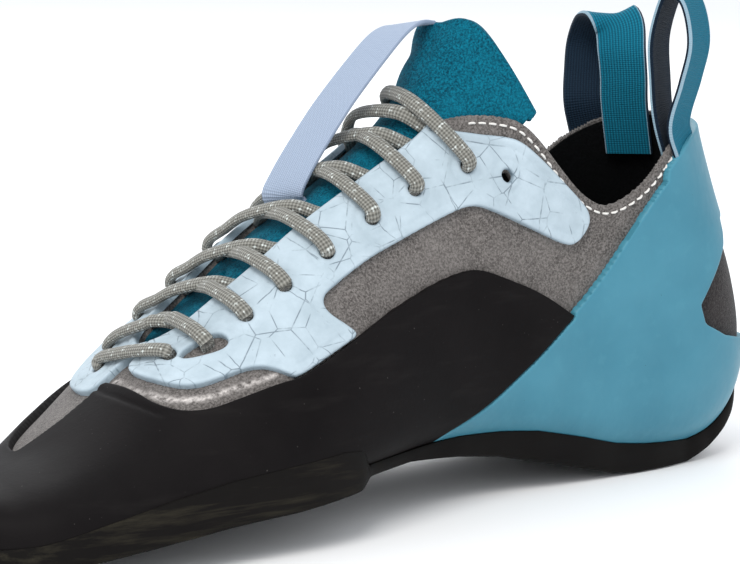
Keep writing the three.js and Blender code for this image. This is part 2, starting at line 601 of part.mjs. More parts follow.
// A tape that rises inside the collar, turns over and comes down on the heel's rubber.
function pullLoop({ inTurn, outTurn, bow, height }) {
  const rim = above(0.83);
  const inside = -WALL - GAP - TAPE / 2 - bow * 0.9;
  const outside = 3 * GAP + RUBBER + TAPE / 2;
  const branch = (turn, offset) => {
    const foot = onHeel(rim, turn, offset);
    const out = onHeel(rim, turn, outside).sub(onHeel(rim, turn, inside)).setZ(0).normalize();
    return { foot, out, low: onHeel(rim - LOOP_HEIGHT * 0.4, turn, offset) };
  };
  const [inner, outer] = [branch(inTurn, inside), branch(outTurn, outside)];
  const climb = ({ foot, out }, push, share) => foot.clone().addScaledVector(out, push).setZ(rim + share * height);
  const top = inner.foot.clone().add(outer.foot).multiplyScalar(0.5).setZ(rim + height);
  const path = new THREE.CatmullRomCurve3([
    inner.low, inner.foot, climb(inner, -1.5, 0.32), climb(inner, -2.4, 0.62), climb(inner, -0.6, 0.9), top,
    climb(outer, 2 * bow, 0.9), climb(outer, 3.4 * bow, 0.62), climb(outer, 1.8 * bow, 0.32), outer.foot, outer.low,
  ]);
  const points = path.getSpacedPoints(22);
  const edges = points.map((_, i) => {
    const share = Math.min(Math.max((i / 22 - 0.4) / 0.2, 0), 1);
    const out = inner.out.clone().lerp(outer.out, share).normalize();
    return new THREE.Vector3(-Math.abs(out.y), Math.sign(out.y) * out.x, 0);
  });
  return strip(points, edges, LOOP_WIDTH, TAPE);
}

function piece(name, body, colour, roughness) {
  const { vertProperties, triVerts } = body.getMesh();
  const geometry = new THREE.BufferGeometry();
  geometry.setAttribute('position', new THREE.BufferAttribute(new Float32Array(vertProperties), 3));
  geometry.setIndex(new THREE.BufferAttribute(new Uint32Array(triVerts), 1));
  const mesh = new THREE.Mesh(geometry, new THREE.MeshStandardMaterial({ color: colour, roughness, metalness: 0 }));
  mesh.name = name;
  return mesh;
}

const shoe = new THREE.Group();
shoe.add(piece('upper', upper(), COLOURS.suede, 0.95));
shoe.add(piece('outsole', outsole(), COLOURS.rubber, 0.6));
shoe.add(piece('insole', insole(), COLOURS.board, 0.9));
shoe.add(piece('tongue', tongue(), COLOURS.tongue, 0.95));
shoe.add(piece('side_rand', sideRand(), COLOURS.rubber, 0.6));
shoe.add(piece('heel_rand', heelRand(), COLOURS.teal, 0.55));
shoe.add(piece('heel_spine', spineStrip(), COLOURS.rubber, 0.6));
shoe.add(piece('eyestay_inner', eyestay(-1), COLOURS.microfibre, 0.8));
shoe.add(piece('eyestay_outer', eyestay(1), COLOURS.microfibre, 0.8));
shoe.add(piece('lace_bar', laceBar(), COLOURS.lace, 0.85));
for (let index = 1; index < EYELET_SIDES.length; index += 1) {
  shoe.add(piece(`lace_crossing_${index}`, laceCrossing(index), COLOURS.lace, 0.85));
}
shoe.add(piece('tongue_label', label(), COLOURS.label, 0.7));
shoe.add(piece('pull_loop_inner', pullLoop(LOOP_SIDES.inner), COLOURS.tape, 0.8));
shoe.add(piece('pull_loop_outer', pullLoop(LOOP_SIDES.outer), COLOURS.tape, 0.8));

export default shoe;
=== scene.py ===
import math

import bpy
import numpy as np
from mathutils import Matrix, Vector, kdtree


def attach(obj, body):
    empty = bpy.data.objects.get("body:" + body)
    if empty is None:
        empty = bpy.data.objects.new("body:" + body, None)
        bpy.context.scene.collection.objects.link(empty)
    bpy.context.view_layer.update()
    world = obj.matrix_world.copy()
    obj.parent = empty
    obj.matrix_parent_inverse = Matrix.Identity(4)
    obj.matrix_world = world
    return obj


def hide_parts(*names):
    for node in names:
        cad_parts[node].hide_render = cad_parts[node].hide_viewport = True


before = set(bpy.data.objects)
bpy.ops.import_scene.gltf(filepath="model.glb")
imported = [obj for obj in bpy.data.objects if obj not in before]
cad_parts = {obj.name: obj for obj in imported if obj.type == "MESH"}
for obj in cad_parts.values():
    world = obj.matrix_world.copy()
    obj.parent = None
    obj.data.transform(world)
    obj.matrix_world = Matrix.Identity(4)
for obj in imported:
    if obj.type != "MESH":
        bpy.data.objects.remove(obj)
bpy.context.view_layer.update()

MM = 0.001
CELL = 0.62      # size of a panel's faces, mm

# The camera comes first: millimetres, at the photograph's angle.
CAMERA_AT = (-487.48, -558.94, 182.72)
CAMERA_RIGHT = (0.80847, -0.58779, 0.02965)
CAMERA_UP = (0.08628, 0.16820, 0.98197)
CAMERA_AIM = (0.58217, 0.79134, -0.18670)


def make_camera():
    data = bpy.data.cameras.new("camera")
    data.sensor_width = 36
    data.lens = 144.7
    camera = bpy.data.objects.new("camera", data)
    bpy.context.scene.collection.objects.link(camera)
    axes = Matrix([CAMERA_RIGHT, CAMERA_UP, [-a for a in CAMERA_AIM]]).transposed()
    camera.matrix_world = Matrix.Translation(Vector(CAMERA_AT) * MM) @ axes.to_4x4()
    bpy.context.scene.camera = camera


make_camera()

# Sizes of the last, in millimetres, as in the solids
LENGTH, HEEL_REACH, BALL_WIDTH, HEEL_WIDTH = 234, 34.5, 80, 52
INSTEP_HEIGHT, ARCH_RISE, SOLE = 100, 13, 5
GAP, RUBBER, EYESTAY, WALL, TONGUE, LACE = 0.3, 1.8, 1.2, 2.0, 2.0, 3.2
THROAT_WIDTH, INSTEP_RUN, TONGUE_WIDTH = 25, 110, 42
INSTEP_ANGLE, SIDE_TILT = math.radians(38), math.radians(50)
OUTER_SHIFT = 8
EDGE_REACH = 5.0                        # how far in from its edge a panel knows the distance
AWAY = -20                              # a distance that counts as well outside
PUNCHED, EYELET = 1.3, 1.5              # radius of the eyelets' holes in the upper and the eyestay
STRAND = (LACE * 1.18, 2.4, 14)         # width, thickness and sides of a pressed lace
TAPE_WIDTH, TAPE, LABEL_TAPE = 12, 1.2, 0.8

# One row a section: bottomAt, arch, rise, topAt, topUp, middle, half, ridge, level, low, high.
# Middle, half and ridge are shares of the ball's width, and of the heel's width from HEEL_ROW on.
HEEL_ROW = 9
SECTIONS = [
    (0.989, 0.5, 0, 0.989, 0.065, -0.225, 0, 0, 0.45, 2.6, 2),
    (0.977, 0.25, 0, 0.977, 0.105, -0.212, 0.131, -0.025, 0.42, 2.8, 2),
    (0.934, 0.11, 0, 0.934, 0.125, -0.175, 0.25, -0.06, 0.4, 3.2, 1.9),
    (0.865, 0.1, 0, 0.878, 0.165, -0.125, 0.338, -0.1, 0.38, 3.6, 1.85),
    (0.784, 0.19, 0, 0.814, 0.24, -0.056, 0.425, -0.1, 0.34, 3.8, 1.8),
    (0.703, 0.41, 0, 0.744, 0.36, 0, 0.481, -0.1, 0.31, 3.8, 1.8),
    (0.618, 0.615, 0, 0.673, 0.485, 0.025, 0.5, -0.1, 0.3, 3.6, 1.8),
    (0.532, 0.73, 0, 0.603, 0.62, 0.04, 0.459, -0.088, 0.31, 3.4, 1.8),
    (0.447, 0.73, 0, 0.532, 0.735, 0.03, 0.381, -0.062, 0.33, 3.3, 1.85),
    (0.361, 0.577, 0, 0.472, 0.84, 0.029, 0.51, -0.058, 0.35, 3.3, 1.95),
    (0.284, 0.31, 0, 0.442, 0.915, 0.01, 0.481, -0.038, 0.37, 3.5, 2),
    (0.207, 0.04, 0, 0.423, 0.975, 0.01, 0.471, 0, 0.38, 3.9, 2.05),
    (0.13, 0, 0, 0.412, 1.015, 0, 0.471, 0, 0.4, 4.2, 2.1),
    (0.068, 0, 0.018, 0.406, 1.045, 0, 0.481, 0, 0.4, 3.8, 2.2),
    (0.028, 0, 0.09, 0.402, 1.065, 0, 0.49, 0, 0.4, 3.2, 2.2),
    (0.011, 0, 0.215, 0.4, 1.08, 0, 0.5, 0, 0.4, 2.7, 2.2),
    (0.021, 0, 0.355, 0.398, 1.095, 0, 0.5, 0, 0.4, 2.5, 2.2),
    (0.041, 0, 0.5, 0.396, 1.11, 0, 0.49, 0, 0.42, 2.3, 2.2),
    (0.062, 0, 0.64, 0.393, 1.125, 0, 0.48, 0, 0.45, 2.2, 2.2),
    (0.079, 0, 0.78, 0.391, 1.14, 0, 0.471, 0, 0.48, 2.1, 2.2),
    (0.086, 0, 0.92, 0.389, 1.17, 0, 0.471, 0, 0.5, 2, 2.2),
]
LAST_ROW = len(SECTIONS) - 1

# Sole: at, inner, middle, outer (underside), innerBand, outerBand
SOLE_ROWS = np.array([
    (1.03, 0.45, 0.45, 0.45, 0.9, 0.9), (0.98, 0.25, 0.2, 0.25, 1.2, 1.2),
    (0.94, 0.28, -0.08, 0.17, 1.35, 1.3), (0.86, 0.47, -0.08, 0.22, 1.7, 1.45),
    (0.81, 0.58, 0.04, 0.28, 1.95, 1.45), (0.75, 0.7, 0.25, 0.33, 2.1, 1.45),
    (0.68, 0.77, 0.46, 0.42, 2.2, 1.45), (0.62, 0.88, 0.66, 0.55, 2.15, 1.4),
    (0.595, 0.92, 0.72, 0.6, 1.9, 1.3), (0.575, 1.04, 0.92, 0.72, 0.6, 0.95),
    (0.5, 1.06, 0.96, 0.74, 0.55, 0.95), (0.43, 0.94, 0.88, 0.66, 1.05, 1.05),
    (0.37, 0.8, 0.72, 0.54, 1.3, 1.15), (0.32, 0.59, 0.52, 0.4, 1.6, 1.3),
    (0.26, 0.34, 0.27, 0.24, 1.55, 1.35), (0.21, 0.13, 0.02, 0.1, 1.4, 1.35),
    (0.17, 0.04, -0.04, 0.04, 1.35, 1.35), (0.1, 0.04, -0.04, 0.04, 1.1, 1.1),
    (0.068, 0.25, 0.2, 0.25, 1, 1), (0.045, 0.55, 0.55, 0.55, 1.05, 1.05),
    (0.02, 1, 1, 1, 1, 1), (-0.02, 1.75, 1.75, 1.75, 1, 1),
])

# Outlines from the side: share of the length from the heel, share of the instep height above the sole
INNER_RIM = [
    (0.446, 0.856), (0.423, 0.862), (0.403, 0.868), (0.375, 0.866), (0.35, 0.852), (0.332, 0.815),
    (0.308, 0.742), (0.285, 0.68), (0.265, 0.648), (0.248, 0.64), (0.228, 0.656), (0.205, 0.692),
    (0.172, 0.768), (0.14, 0.815), (0.105, 0.835), (0.05, 0.845), (-0.05, 0.85),
]
OUTER_RIM = [
    (0.446, 0.84), (0.423, 0.845), (0.4, 0.845), (0.372, 0.835), (0.348, 0.81), (0.328, 0.765),
    (0.305, 0.69), (0.283, 0.625), (0.263, 0.588), (0.245, 0.575), (0.226, 0.582), (0.203, 0.612),
    (0.172, 0.68), (0.14, 0.748), (0.105, 0.802), (0.05, 0.84), (-0.05, 0.85),
]
INNER_RAND = [
    (0.793, 0.42), (0.79, 0.3), (0.784, 0.29), (0.771, 0.285), (0.75, 0.291), (0.728, 0.306),
    (0.681, 0.338), (0.66, 0.344), (0.626, 0.377), (0.587, 0.411), (0.542, 0.454), (0.506, 0.479),
    (0.47, 0.505), (0.44, 0.519), (0.424, 0.522), (0.408, 0.515), (0.39, 0.499), (0.337, 0.449),
    (0.292, 0.382),
]
OUTER_RAND = [
    (0.9, 0.3), (0.89, 0.165), (0.86, 0.15), (0.81, 0.165), (0.76, 0.195), (0.7, 0.23),
    (0.64, 0.265), (0.59, 0.3), (0.54, 0.345), (0.49, 0.39), (0.45, 0.415), (0.425, 0.42),
    (0.4, 0.41), (0.34, 0.37), (0.3, 0.33),
]
INNER_JOIN = [(0.343, 0.288), (0.395, 0.203), (0.43, 0.162), (0.463, 0.128), (0.48, 0.05)]
OUTER_JOIN = [(0.345, 0.255), (0.395, 0.185), (0.43, 0.145), (0.463, 0.11), (0.48, 0.03)]
INNER_HEEL = [(0.287, 0.404), (0.27, 0.443), (0.239, 0.529), (0.217, 0.599), (0.196, 0.663), (0.178, 0.704)]
OUTER_HEEL = [(0.293, 0.36), (0.272, 0.4), (0.24, 0.48), (0.217, 0.55), (0.196, 0.615), (0.178, 0.665)]
HEEL_WINDOW = [
    (0.085, 0.59), (0.083, 0.535), (0.101, 0.469), (0.132, 0.344), (0.062, 0.267), (-0.05, 0.245), (-0.05, 0.6),
]

# Outlines on the slope of the instep: millimetres up the instep line and round the side
EYESTAY_OUTLINE = [
    (13.2, 2), (12.2, 4), (12.2, 8), (14, 15), (17, 18.5), (21, 20.8), (27, 23.5), (30, 26), (32, 29.5),
    (33.4, 33), (35, 34.4), (37, 34.6), (44, 35.2), (53, 36.3), (52, 32), (51, 28.5), (51.2, 26), (53, 24.3),
    (56, 24), (68.5, 25), (77, 26.8), (87, 29), (95, 31), (98.5, 32.6), (101, 35), (107, 44), (111.5, 52),
    (113.5, 54.6), (116, 55.4), (120, 54.8), (122, 53.5), (122.6, 51), (121.5, 44), (120.2, 35), (119, 30),
    (116, 26), (111, 21), (107, 17), (104, 10), (104, 0), (60, -2), (30, -3), (22, 1.2), (17, 1.5),
]
EYESTAY_SLOT = [(21.5, 9.4), (28.5, 11.6), (30.4, 13), (30.6, 15.4), (29, 16.8), (26, 15.8), (20.2, 11.4)]
EYELETS = [
    (20, 8), (26.8, 12.8), (37.5, 14.8), (49, 16.2), (62, 17.6), (76.6, 19), (90, 21), (104, 25.6), (111, 33.5),
]
EYELET_SIDES = [13.5, 17, 19, 19.6, 19.6, 18.8, 18.4, 19.6]
INNER_RISE = [0, 3.5, 4.5, 4.5, 4.5, 7, 7, 7]
OUTER_RISE = [0, 13, 17, 18, 18.5, 19, 18.5, 9.5]
THROAT = np.array([
    (0.185, 0.1, 0), (0.2, 0.09, 0.16), (0.222, 0.09, 0.26), (0.255, 0.08, 0.34), (0.345, 0.08, 0.39),
    (0.455, 0.05, 0.45), (0.57, 0.04, 0.465), (0.78, 0.02, 0.47), (0.9, 0.01, 0.49), (1, 0, 0.51),
    (1.75, 0, 0.51),
])
TONGUE_ROWS = np.array([
    (0.15, 0.2), (0.165, 0.3), (0.2, 0.36), (0.3, 0.42), (0.6, 0.48), (0.85, 0.51), (1.05, 0.51),
])


def along(share):
    return HEEL_REACH - share * LENGTH


def above(share):
    return SOLE + share * INSTEP_HEIGHT


SPINE_HALF, SPINE_TOP = 6.5, above(0.61)


def unit(v):
    return v / np.linalg.norm(v, axis=-1, keepdims=True)


def lengths(points):
    """Length of a path up to each of its points."""
    return np.concatenate([[0], np.cumsum(np.linalg.norm(np.diff(points, axis=0), axis=1))])


def curve(a, b, c, d, t):
    """A smooth curve from b to c, with a and d as their neighbours."""
    return b + 0.5 * t * ((c - a) + t * ((2 * a - 5 * b + 4 * c - d) + t * (3 * (b - c) + d - a)))


SIZED = np.array([
    (along(b), SOLE + arch * ARCH_RISE + rise * INSTEP_HEIGHT, along(t), above(up),
     *(np.array([middle, half, ridge]) * (BALL_WIDTH if row < HEEL_ROW else HEEL_WIDTH)), level, low, high)
    for row, (b, arch, rise, t, up, middle, half, ridge, level, low, high) in enumerate(SECTIONS)
])
PADDED = np.vstack([2 * SIZED[0] - SIZED[1], SIZED, 2 * SIZED[-1] - SIZED[-2]])


def section(u):
    """The section's values at a place between two rows, with smooth slopes."""
    i = np.clip(np.floor(u).astype(int), 0, LAST_ROW - 1)
    t = (u - i)[..., None]
    return curve(PADDED[i], PADDED[i + 1], PADDED[i + 2], PADDED[i + 3], t)


def on_last(u, turn):
    bottom_x, bottom_z, top_x, top_z, middle, half, ridge, level, low, high = np.moveaxis(section(u), -1, 0)
    down, side = np.cos(turn), np.sin(turn)
    power = np.where(down > 0, low, high)
    radius = (np.abs(down) ** power + np.abs(side) ** power) ** (-1 / power)
    up = level - np.where(down > 0, level, 1 - level) * radius * down
    lean = np.where(down > 0, 0, ridge * (radius * down) ** 2)
    x = bottom_x + up * (top_x - bottom_x)
    z = bottom_z + up * (top_z - bottom_z)
    return np.stack([x, middle + half * radius * side + lean, z], -1)


def outward(u, turn):
    """Unit normals of the last. At the very tip they swing to the front."""
    step = 0.004
    inner = np.maximum(u, 0.25)
    du = on_last(inner + step, turn) - on_last(inner - step, turn)
    dt = on_last(inner, turn + step) - on_last(inner, turn - step)
    share = np.clip(u / 0.25, 0, 1)[..., None]
    return unit(share * unit(np.cross(dt, du)) + (1 - share) * np.array([-1.0, 0, 0]))


def off_last(u, turn, offset):
    u, turn = np.broadcast_arrays(np.asarray(u, float), np.asarray(turn, float))
    return on_last(u, turn) + np.asarray(offset)[..., None] * outward(u, turn)


INSTEP_START = np.array([along(0.814), 0, above(0.25)])
UPHILL = np.array([math.cos(INSTEP_ANGLE), 0, math.sin(INSTEP_ANGLE)])
OFF_INSTEP = np.array([-math.sin(INSTEP_ANGLE), 0, math.cos(INSTEP_ANGLE)])
SIDEWAYS = np.array([0.0, 1, 0])


def chart_side(p):
    return p[..., 0], p[..., 2]


def chart_slope(p, side):
    q = p - INSTEP_START
    across = -math.sin(SIDE_TILT) * OFF_INSTEP + side * math.cos(SIDE_TILT) * SIDEWAYS
    return q @ UPHILL, q @ across


def chart_top(p):
    return (p - INSTEP_START) @ UPHILL, p[..., 1]


def place(chart, a, b, guess, offset):
    """Points of the last whose chart coordinates are a and b, by Newton steps from a guess."""
    a, b = np.broadcast_arrays(np.asarray(a, float), np.asarray(b, float))
    u, turn = np.full(a.shape, float(guess[0])), np.full(a.shape, float(guess[1]))
    step = 0.01
    for _ in range(16):
        f = np.stack(chart(off_last(u, turn, offset))) - (a, b)
        fu = (np.stack(chart(off_last(u + step, turn, offset))) - (a, b) - f) / step
        ft = (np.stack(chart(off_last(u, turn + step, offset))) - (a, b) - f) / step
        det = fu[0] * ft[1] - ft[0] * fu[1]
        u = np.clip(u - np.clip((f[0] * ft[1] - ft[0] * f[1]) / det, -1, 1), 0.3, LAST_ROW + 1)
        turn = turn - np.clip((fu[0] * f[1] - f[0] * fu[1]) / det, -0.3, 0.3)
    return u, turn


def sole_values(x):
    rows = SOLE_ROWS[::-1]
    share = (HEEL_REACH - x) / LENGTH
    return [np.interp(share, rows[:, 0], rows[:, k]) for k in range(1, 6)]


def underside(x, y):
    inner, middle, outer, _, _ = sole_values(x)
    across = np.clip(y / (BALL_WIDTH * 0.42), -1, 1)
    return ARCH_RISE * (middle + (np.where(across < 0, inner, outer) - middle) * across ** 2)


def wall_top(x, y):
    inner, _, outer, inner_band, outer_band = sole_values(x)
    share = (np.clip(y / (BALL_WIDTH * 0.42), -1, 1) + 1) / 2
    low = inner * ARCH_RISE + inner_band * SOLE
    return low + share * (outer * ARCH_RISE + outer_band * SOLE - low)


# Outlines and their distances

def rounded(points, times=2, closed=False):
    """The outline with its corners cut, again and again."""
    points = np.asarray(points, float)
    for _ in range(times):
        ahead = np.roll(points, -1, 0) if closed else points[1:]
        here = points if closed else points[:-1]
        cut = np.stack([0.75 * here + 0.25 * ahead, 0.25 * here + 0.75 * ahead], 1).reshape(-1, 2)
        points = cut if closed else np.vstack([points[:1], cut, points[-1:]])
    return points


def inside(outline, a, b):
    """Distance from the outline of each point (a, b), negative outside it."""
    nearest = np.full(a.shape, 1e9)
    odd = np.zeros(a.shape, bool)
    for (x0, y0), (x1, y1) in zip(outline, np.roll(outline, -1, 0)):
        dx, dy = x1 - x0, y1 - y0
        t = np.clip(((a - x0) * dx + (b - y0) * dy) / max(dx * dx + dy * dy, 1e-9), 0, 1)
        nearest = np.minimum(nearest, (a - x0 - t * dx) ** 2 + (b - y0 - t * dy) ** 2)
        if y0 != y1:
            odd ^= ((y0 > b) != (y1 > b)) & (a < (x1 - x0) * (b - y0) / (y1 - y0) + x0)
    return np.where(odd, 1, -1) * np.sqrt(nearest)


def side_outline(points):
    return np.array([(along(at), above(up)) for at, up in points])


def throat_edge(run, side):
    middle = np.interp(run / INSTEP_RUN, THROAT[:, 0], THROAT[:, 1])
    half = np.interp(run / INSTEP_RUN, THROAT[:, 0], THROAT[:, 2])
    return (middle + side * half) * THROAT_WIDTH


def in_throat(p):
    run = THROAT[:, 0] * INSTEP_RUN
    edge = [np.stack([run, throat_edge(run, side)], 1) for side in (1, -1)]
    line = np.vstack([rounded(edge[0][::-1]), rounded(edge[1])])
    a, b = chart_top(p)
    return np.where((p - INSTEP_START) @ OFF_INSTEP > -18, inside(line, a, b), AWAY)


def by_side(p, region, inner, outer):
    """Distance from the inner or the outer side's own outline, each on its side."""
    x, z = chart_side(p)
    return np.where(p[..., 1] < 0, inside(region(*inner), x, z), inside(region(*outer), x, z))


def in_collar(p, raise_by=0.0):
    def region(rim):
        line = rounded(side_outline(rim)) + (0, raise_by)
        return np.vstack([[(along(0.47), above(1.7))], line, [(along(-0.05), above(1.7))]])
    return by_side(p, region, [INNER_RIM], [OUTER_RIM])


def in_rand(p, margin=0.0):
    def region(rand, join, front):
        top = rounded(side_outline(rand)) + (margin, margin)
        tail = rounded(side_outline([rand[-1], *join])) + (margin, -margin)
        return np.vstack([side_outline([(1.1, -0.15), (1.1, front)]), top, tail])
    x, z = chart_side(p)
    inner = inside(region(INNER_RAND, INNER_JOIN, 0.42), x, z)
    outer = inside(region(OUTER_RAND, OUTER_JOIN, 0.30), x, z)
    both = np.minimum(inner, outer)
    return np.where(both > 3, both, np.where(p[..., 1] <= 0, inner, outer))


def over_sole(p):
    return p[..., 2] - wall_top(p[..., 0], p[..., 1]) + 0.7


def from_window(p):
    return inside(rounded(side_outline(HEEL_WINDOW), 1, True), *chart_side(p))


def in_spine(p, margin=0.0):
    return np.minimum.reduce([
        SPINE_HALF + margin - np.abs(p[..., 1]), p[..., 0], SPINE_TOP + margin - p[..., 2]])


def in_window(p):
    return np.minimum(from_window(p), np.abs(p[..., 1]) - SPINE_HALF)


def in_heel(p):
    def region(join, heel):
        line = rounded(side_outline([*join[::-1], *heel, (0.178, 0.9)]), 1)
        return np.vstack([line, side_outline([(0.178, 1.2), (-0.1, 1.2), (-0.1, -0.15), (0.52, -0.15)])])
    return by_side(p, region, [INNER_JOIN, INNER_HEEL], [OUTER_JOIN, OUTER_HEEL])


def in_eyelets(p, side, radius):
    a, b = chart_slope(p, side)
    shift = OUTER_SHIFT if side > 0 else 0
    best = np.full(a.shape, -1e9)
    for run, down in EYELETS:
        best = np.maximum(best, radius - np.hypot(a - run + shift, b - down))
    return np.where(side * p[..., 1] > 0, best, AWAY)


def in_eyestay(p, side):
    a, b = chart_slope(p, side)
    a = a + (OUTER_SHIFT if side > 0 else 0)
    shape = inside(rounded(EYESTAY_OUTLINE, 2, True), a, b)
    slot = inside(rounded(EYESTAY_SLOT, 2, True), a, b)
    shape = np.minimum(shape, side * p[..., 1] + 1)
    return np.minimum.reduce([shape, -slot, -in_throat(p), -in_eyelets(p, side, EYELET)])


TONGUE_END = [
    (123, 20.5), (126, 17), (127.3, 12), (127.5, 7), (127.3, 3), (128.3, -1), (130, -5), (131, -9),
    (130.8, -12.5), (129.5, -16), (127, -20), (124, -23), (116, -24),
]


def in_tongue(p):
    run, half = TONGUE_ROWS.T[0] * INSTEP_RUN, TONGUE_ROWS.T[1] * TONGUE_WIDTH
    line = np.vstack([np.stack([run, half], 1), TONGUE_END, np.stack([run, -half], 1)[::-1]])
    a, b = chart_top(p)
    holes = np.full(a.shape, -9.0)
    for x, y in ((47, -5), (52.5, -5.5), (47, 3), (52.5, 3), (58, -1)):
        holes = np.maximum(holes, 0.95 - np.hypot(a - x, b - y))
    shape = np.minimum(inside(rounded(line, 2, True), a, b), -holes)
    return np.where((p - INSTEP_START) @ OFF_INSTEP > -22, shape, AWAY)


# Panels: parts of the last's surface, cut out along an outline

def grid_lines(cell):
    """Places along and round the last, about one cell apart."""
    u = np.arange(0.02, LAST_ROW + 0.35, 0.02)
    turns = np.linspace(0, 2 * np.pi, 241)
    p = on_last(u[:, None], turns[None])
    step = np.linalg.norm(np.diff(p, axis=0), axis=-1).max(1)
    length = np.concatenate([[0], np.cumsum(step)])
    us = np.interp(np.linspace(0, length[-1], int(length[-1] / cell)), length, u)
    girth = np.linalg.norm(np.diff(p[50:], axis=1), axis=-1).mean(0)
    round_it = np.concatenate([[0], np.cumsum(girth)])
    return us, np.interp(np.linspace(0, round_it[-1], int(round_it[-1] / cell * 1.15)), round_it, turns)


def split(data, tris, value, keep_low):
    """Cuts the triangles where value is 0. Keeps the high side, and the low side too if asked."""
    data, value = data.copy(), value.copy()
    edges = np.unique(np.sort(np.vstack([tris[:, [0, 1]], tris[:, [1, 2]], tris[:, [2, 0]]]), 1), axis=0)
    va, vb = value[edges[:, 0]], value[edges[:, 1]]
    crossing = (va > 0) != (vb > 0)
    e, t = edges[crossing], (va / np.where(va == vb, 1, va - vb))[crossing]
    for k, near in ((0, t < 0.22), (1, t > 0.78)):
        who, other, share = e[near, k], e[near, 1 - k], (t if k == 0 else 1 - t)[near]
        who, first = np.unique(who, return_index=True)
        free = value[who] != 0
        who, first = who[free], first[free]
        data[who] += share[first][:, None] * (data[other[first]] - data[who])
        value[who] = 0
    high = value >= 0
    va, vb = value[edges[:, 0]], value[edges[:, 1]]
    crossing = (va * vb < 0)
    e = edges[crossing]
    t = value[e[:, 0]] / (value[e[:, 0]] - value[e[:, 1]])
    fresh = data[e[:, 0]] + t[:, None] * (data[e[:, 1]] - data[e[:, 0]])
    number = {tuple(k): len(data) + i for i, k in enumerate(e.tolist())}
    data = np.vstack([data, fresh])
    value = np.concatenate([value, np.zeros(len(fresh))])
    sign = np.sign(value[tris])
    easy_high, easy_low = (sign >= 0).all(1), (sign <= 0).all(1)
    kept = [tris[easy_high & (sign > 0).any(1)]]
    if keep_low:
        kept.append(tris[easy_low])
    made = []
    for a, b, c in tris[~easy_high & ~easy_low].tolist():
        ring = []
        for p, q in ((a, b), (b, c), (c, a)):
            ring.append(p)
            m = number.get((min(p, q), max(p, q)))
            if m is not None:
                ring.append(m)
        for wanted in ((1, -1) if keep_low else (1,)):
            part = [v for v in ring if value[v] * wanted >= 0]
            made += [(part[0], part[i], part[i + 1]) for i in range(1, len(part) - 1)]
    return data, np.vstack([*kept, np.array(made, int).reshape(-1, 3)]), value


def compact(data, tris):
    used, tris = np.unique(tris, return_inverse=True)
    return data[used], tris.reshape(-1, 3)


def open_edges(tris):
    directed = np.vstack([tris[:, [0, 1]], tris[:, [1, 2]], tris[:, [2, 0]]])
    key = directed[:, 0] * (tris.max() + 1) + directed[:, 1]
    back = directed[:, 1] * (tris.max() + 1) + directed[:, 0]
    return directed[~np.isin(key, back)]


def edge_distance(points, edges):
    """Distance from each point to the open edges, up to EDGE_REACH."""
    ends = points[edges]
    samples = np.concatenate([ends[:, 0] + s * (ends[:, 1] - ends[:, 0]) for s in (0, 0.25, 0.5, 0.75)])
    tree = kdtree.KDTree(len(samples))
    for i, p in enumerate(samples):
        tree.insert(p, i)
    tree.balance()
    return np.array([min(tree.find(p)[2], EDGE_REACH) for p in points])


def add_mesh(name, points, faces, material, smooth=50, uv=None, values=None):
    """A piece of the shoe from millimetre points."""
    mesh = bpy.data.meshes.new(name)
    mesh.from_pydata((np.asarray(points) * MM).tolist(), [], [list(f) for f in faces])
    mesh.validate()
    mesh.update()
    mesh.shade_smooth()
    mesh.set_sharp_from_angle(angle=math.radians(smooth))
    if uv is not None:
        layer = mesh.uv_layers.new(name="chart")
        corner = np.empty(len(mesh.loops), int)
        mesh.loops.foreach_get("vertex_index", corner)
        layer.data.foreach_set("uv", np.asarray(uv, float)[corner].ravel())
    for key, value in (values or {}).items():
        mesh.attributes.new(key, "FLOAT", "POINT").data.foreach_set("value", np.asarray(value, float))
    piece = bpy.data.objects.new(name, mesh)
    bpy.context.scene.collection.objects.link(piece)
    mesh.materials.append(material)
    return piece


def panel(name, field, low, high, material, edge=0.5, cell=None, shape=None, chart=chart_side,
          bend=None, marks=None):
    """A panel between two offsets of the last, with rounded edges. shape adds relief to its face."""
    us, turns = grid_lines(cell or CELL)
    u, t = np.meshgrid(us, turns, indexing="ij")
    data = np.stack([u.ravel(), t.ravel()], 1)
    value = field(off_last(data[:, 0], data[:, 1], high))
    n = len(turns)
    i, j = np.meshgrid(np.arange(len(us) - 1), np.arange(n - 1), indexing="ij")
    a = (i * n + j).ravel()
    tris = np.vstack([np.stack([a, a + 1, a + n + 1], 1), np.stack([a, a + n + 1, a + n], 1)])
    tris = tris[(value[tris] > 0).any(1)]
    data, tris, _ = split(data, tris, value, False)
    data, tris = compact(data, tris)
    distance = edge_distance(off_last(data[:, 0], data[:, 1], high), open_edges(tris))
    data = np.hstack([data, distance[:, None]])
    for share in (0.15, 0.45, 1.0):
        data, tris, _ = split(data, tris, data[:, 2] - share * edge, True)
    data, tris = compact(data, tris)
    u, t, distance = data.T
    base = off_last(u, t, high)
    drop = edge - np.sqrt(np.maximum(edge ** 2 - np.maximum(edge - distance, 0) ** 2, 0))
    relief = shape(base, distance) if shape else 0
    front = off_last(u, t, high - drop + relief)
    back = off_last(u, t, np.full(u.shape, low))
    if bend:
        front, back = front + bend(base), back + bend(base)
    rim = open_edges(tris)
    count = len(u)
    walls = [(int(q), int(p), int(p) + count, int(q) + count) for p, q in rim]
    faces = [*tris.tolist(), *(tris[:, ::-1] + count).tolist(), *walls]
    uv = np.stack(chart(base), 1)
    return add_mesh(name, np.vstack([front, back]), faces, material, uv=np.vstack([uv, uv]),
                    values={"edge": np.concatenate([distance, distance]),
                            **{key: np.tile(mark(base), 2) for key, mark in (marks or {}).items()}})


# Materials

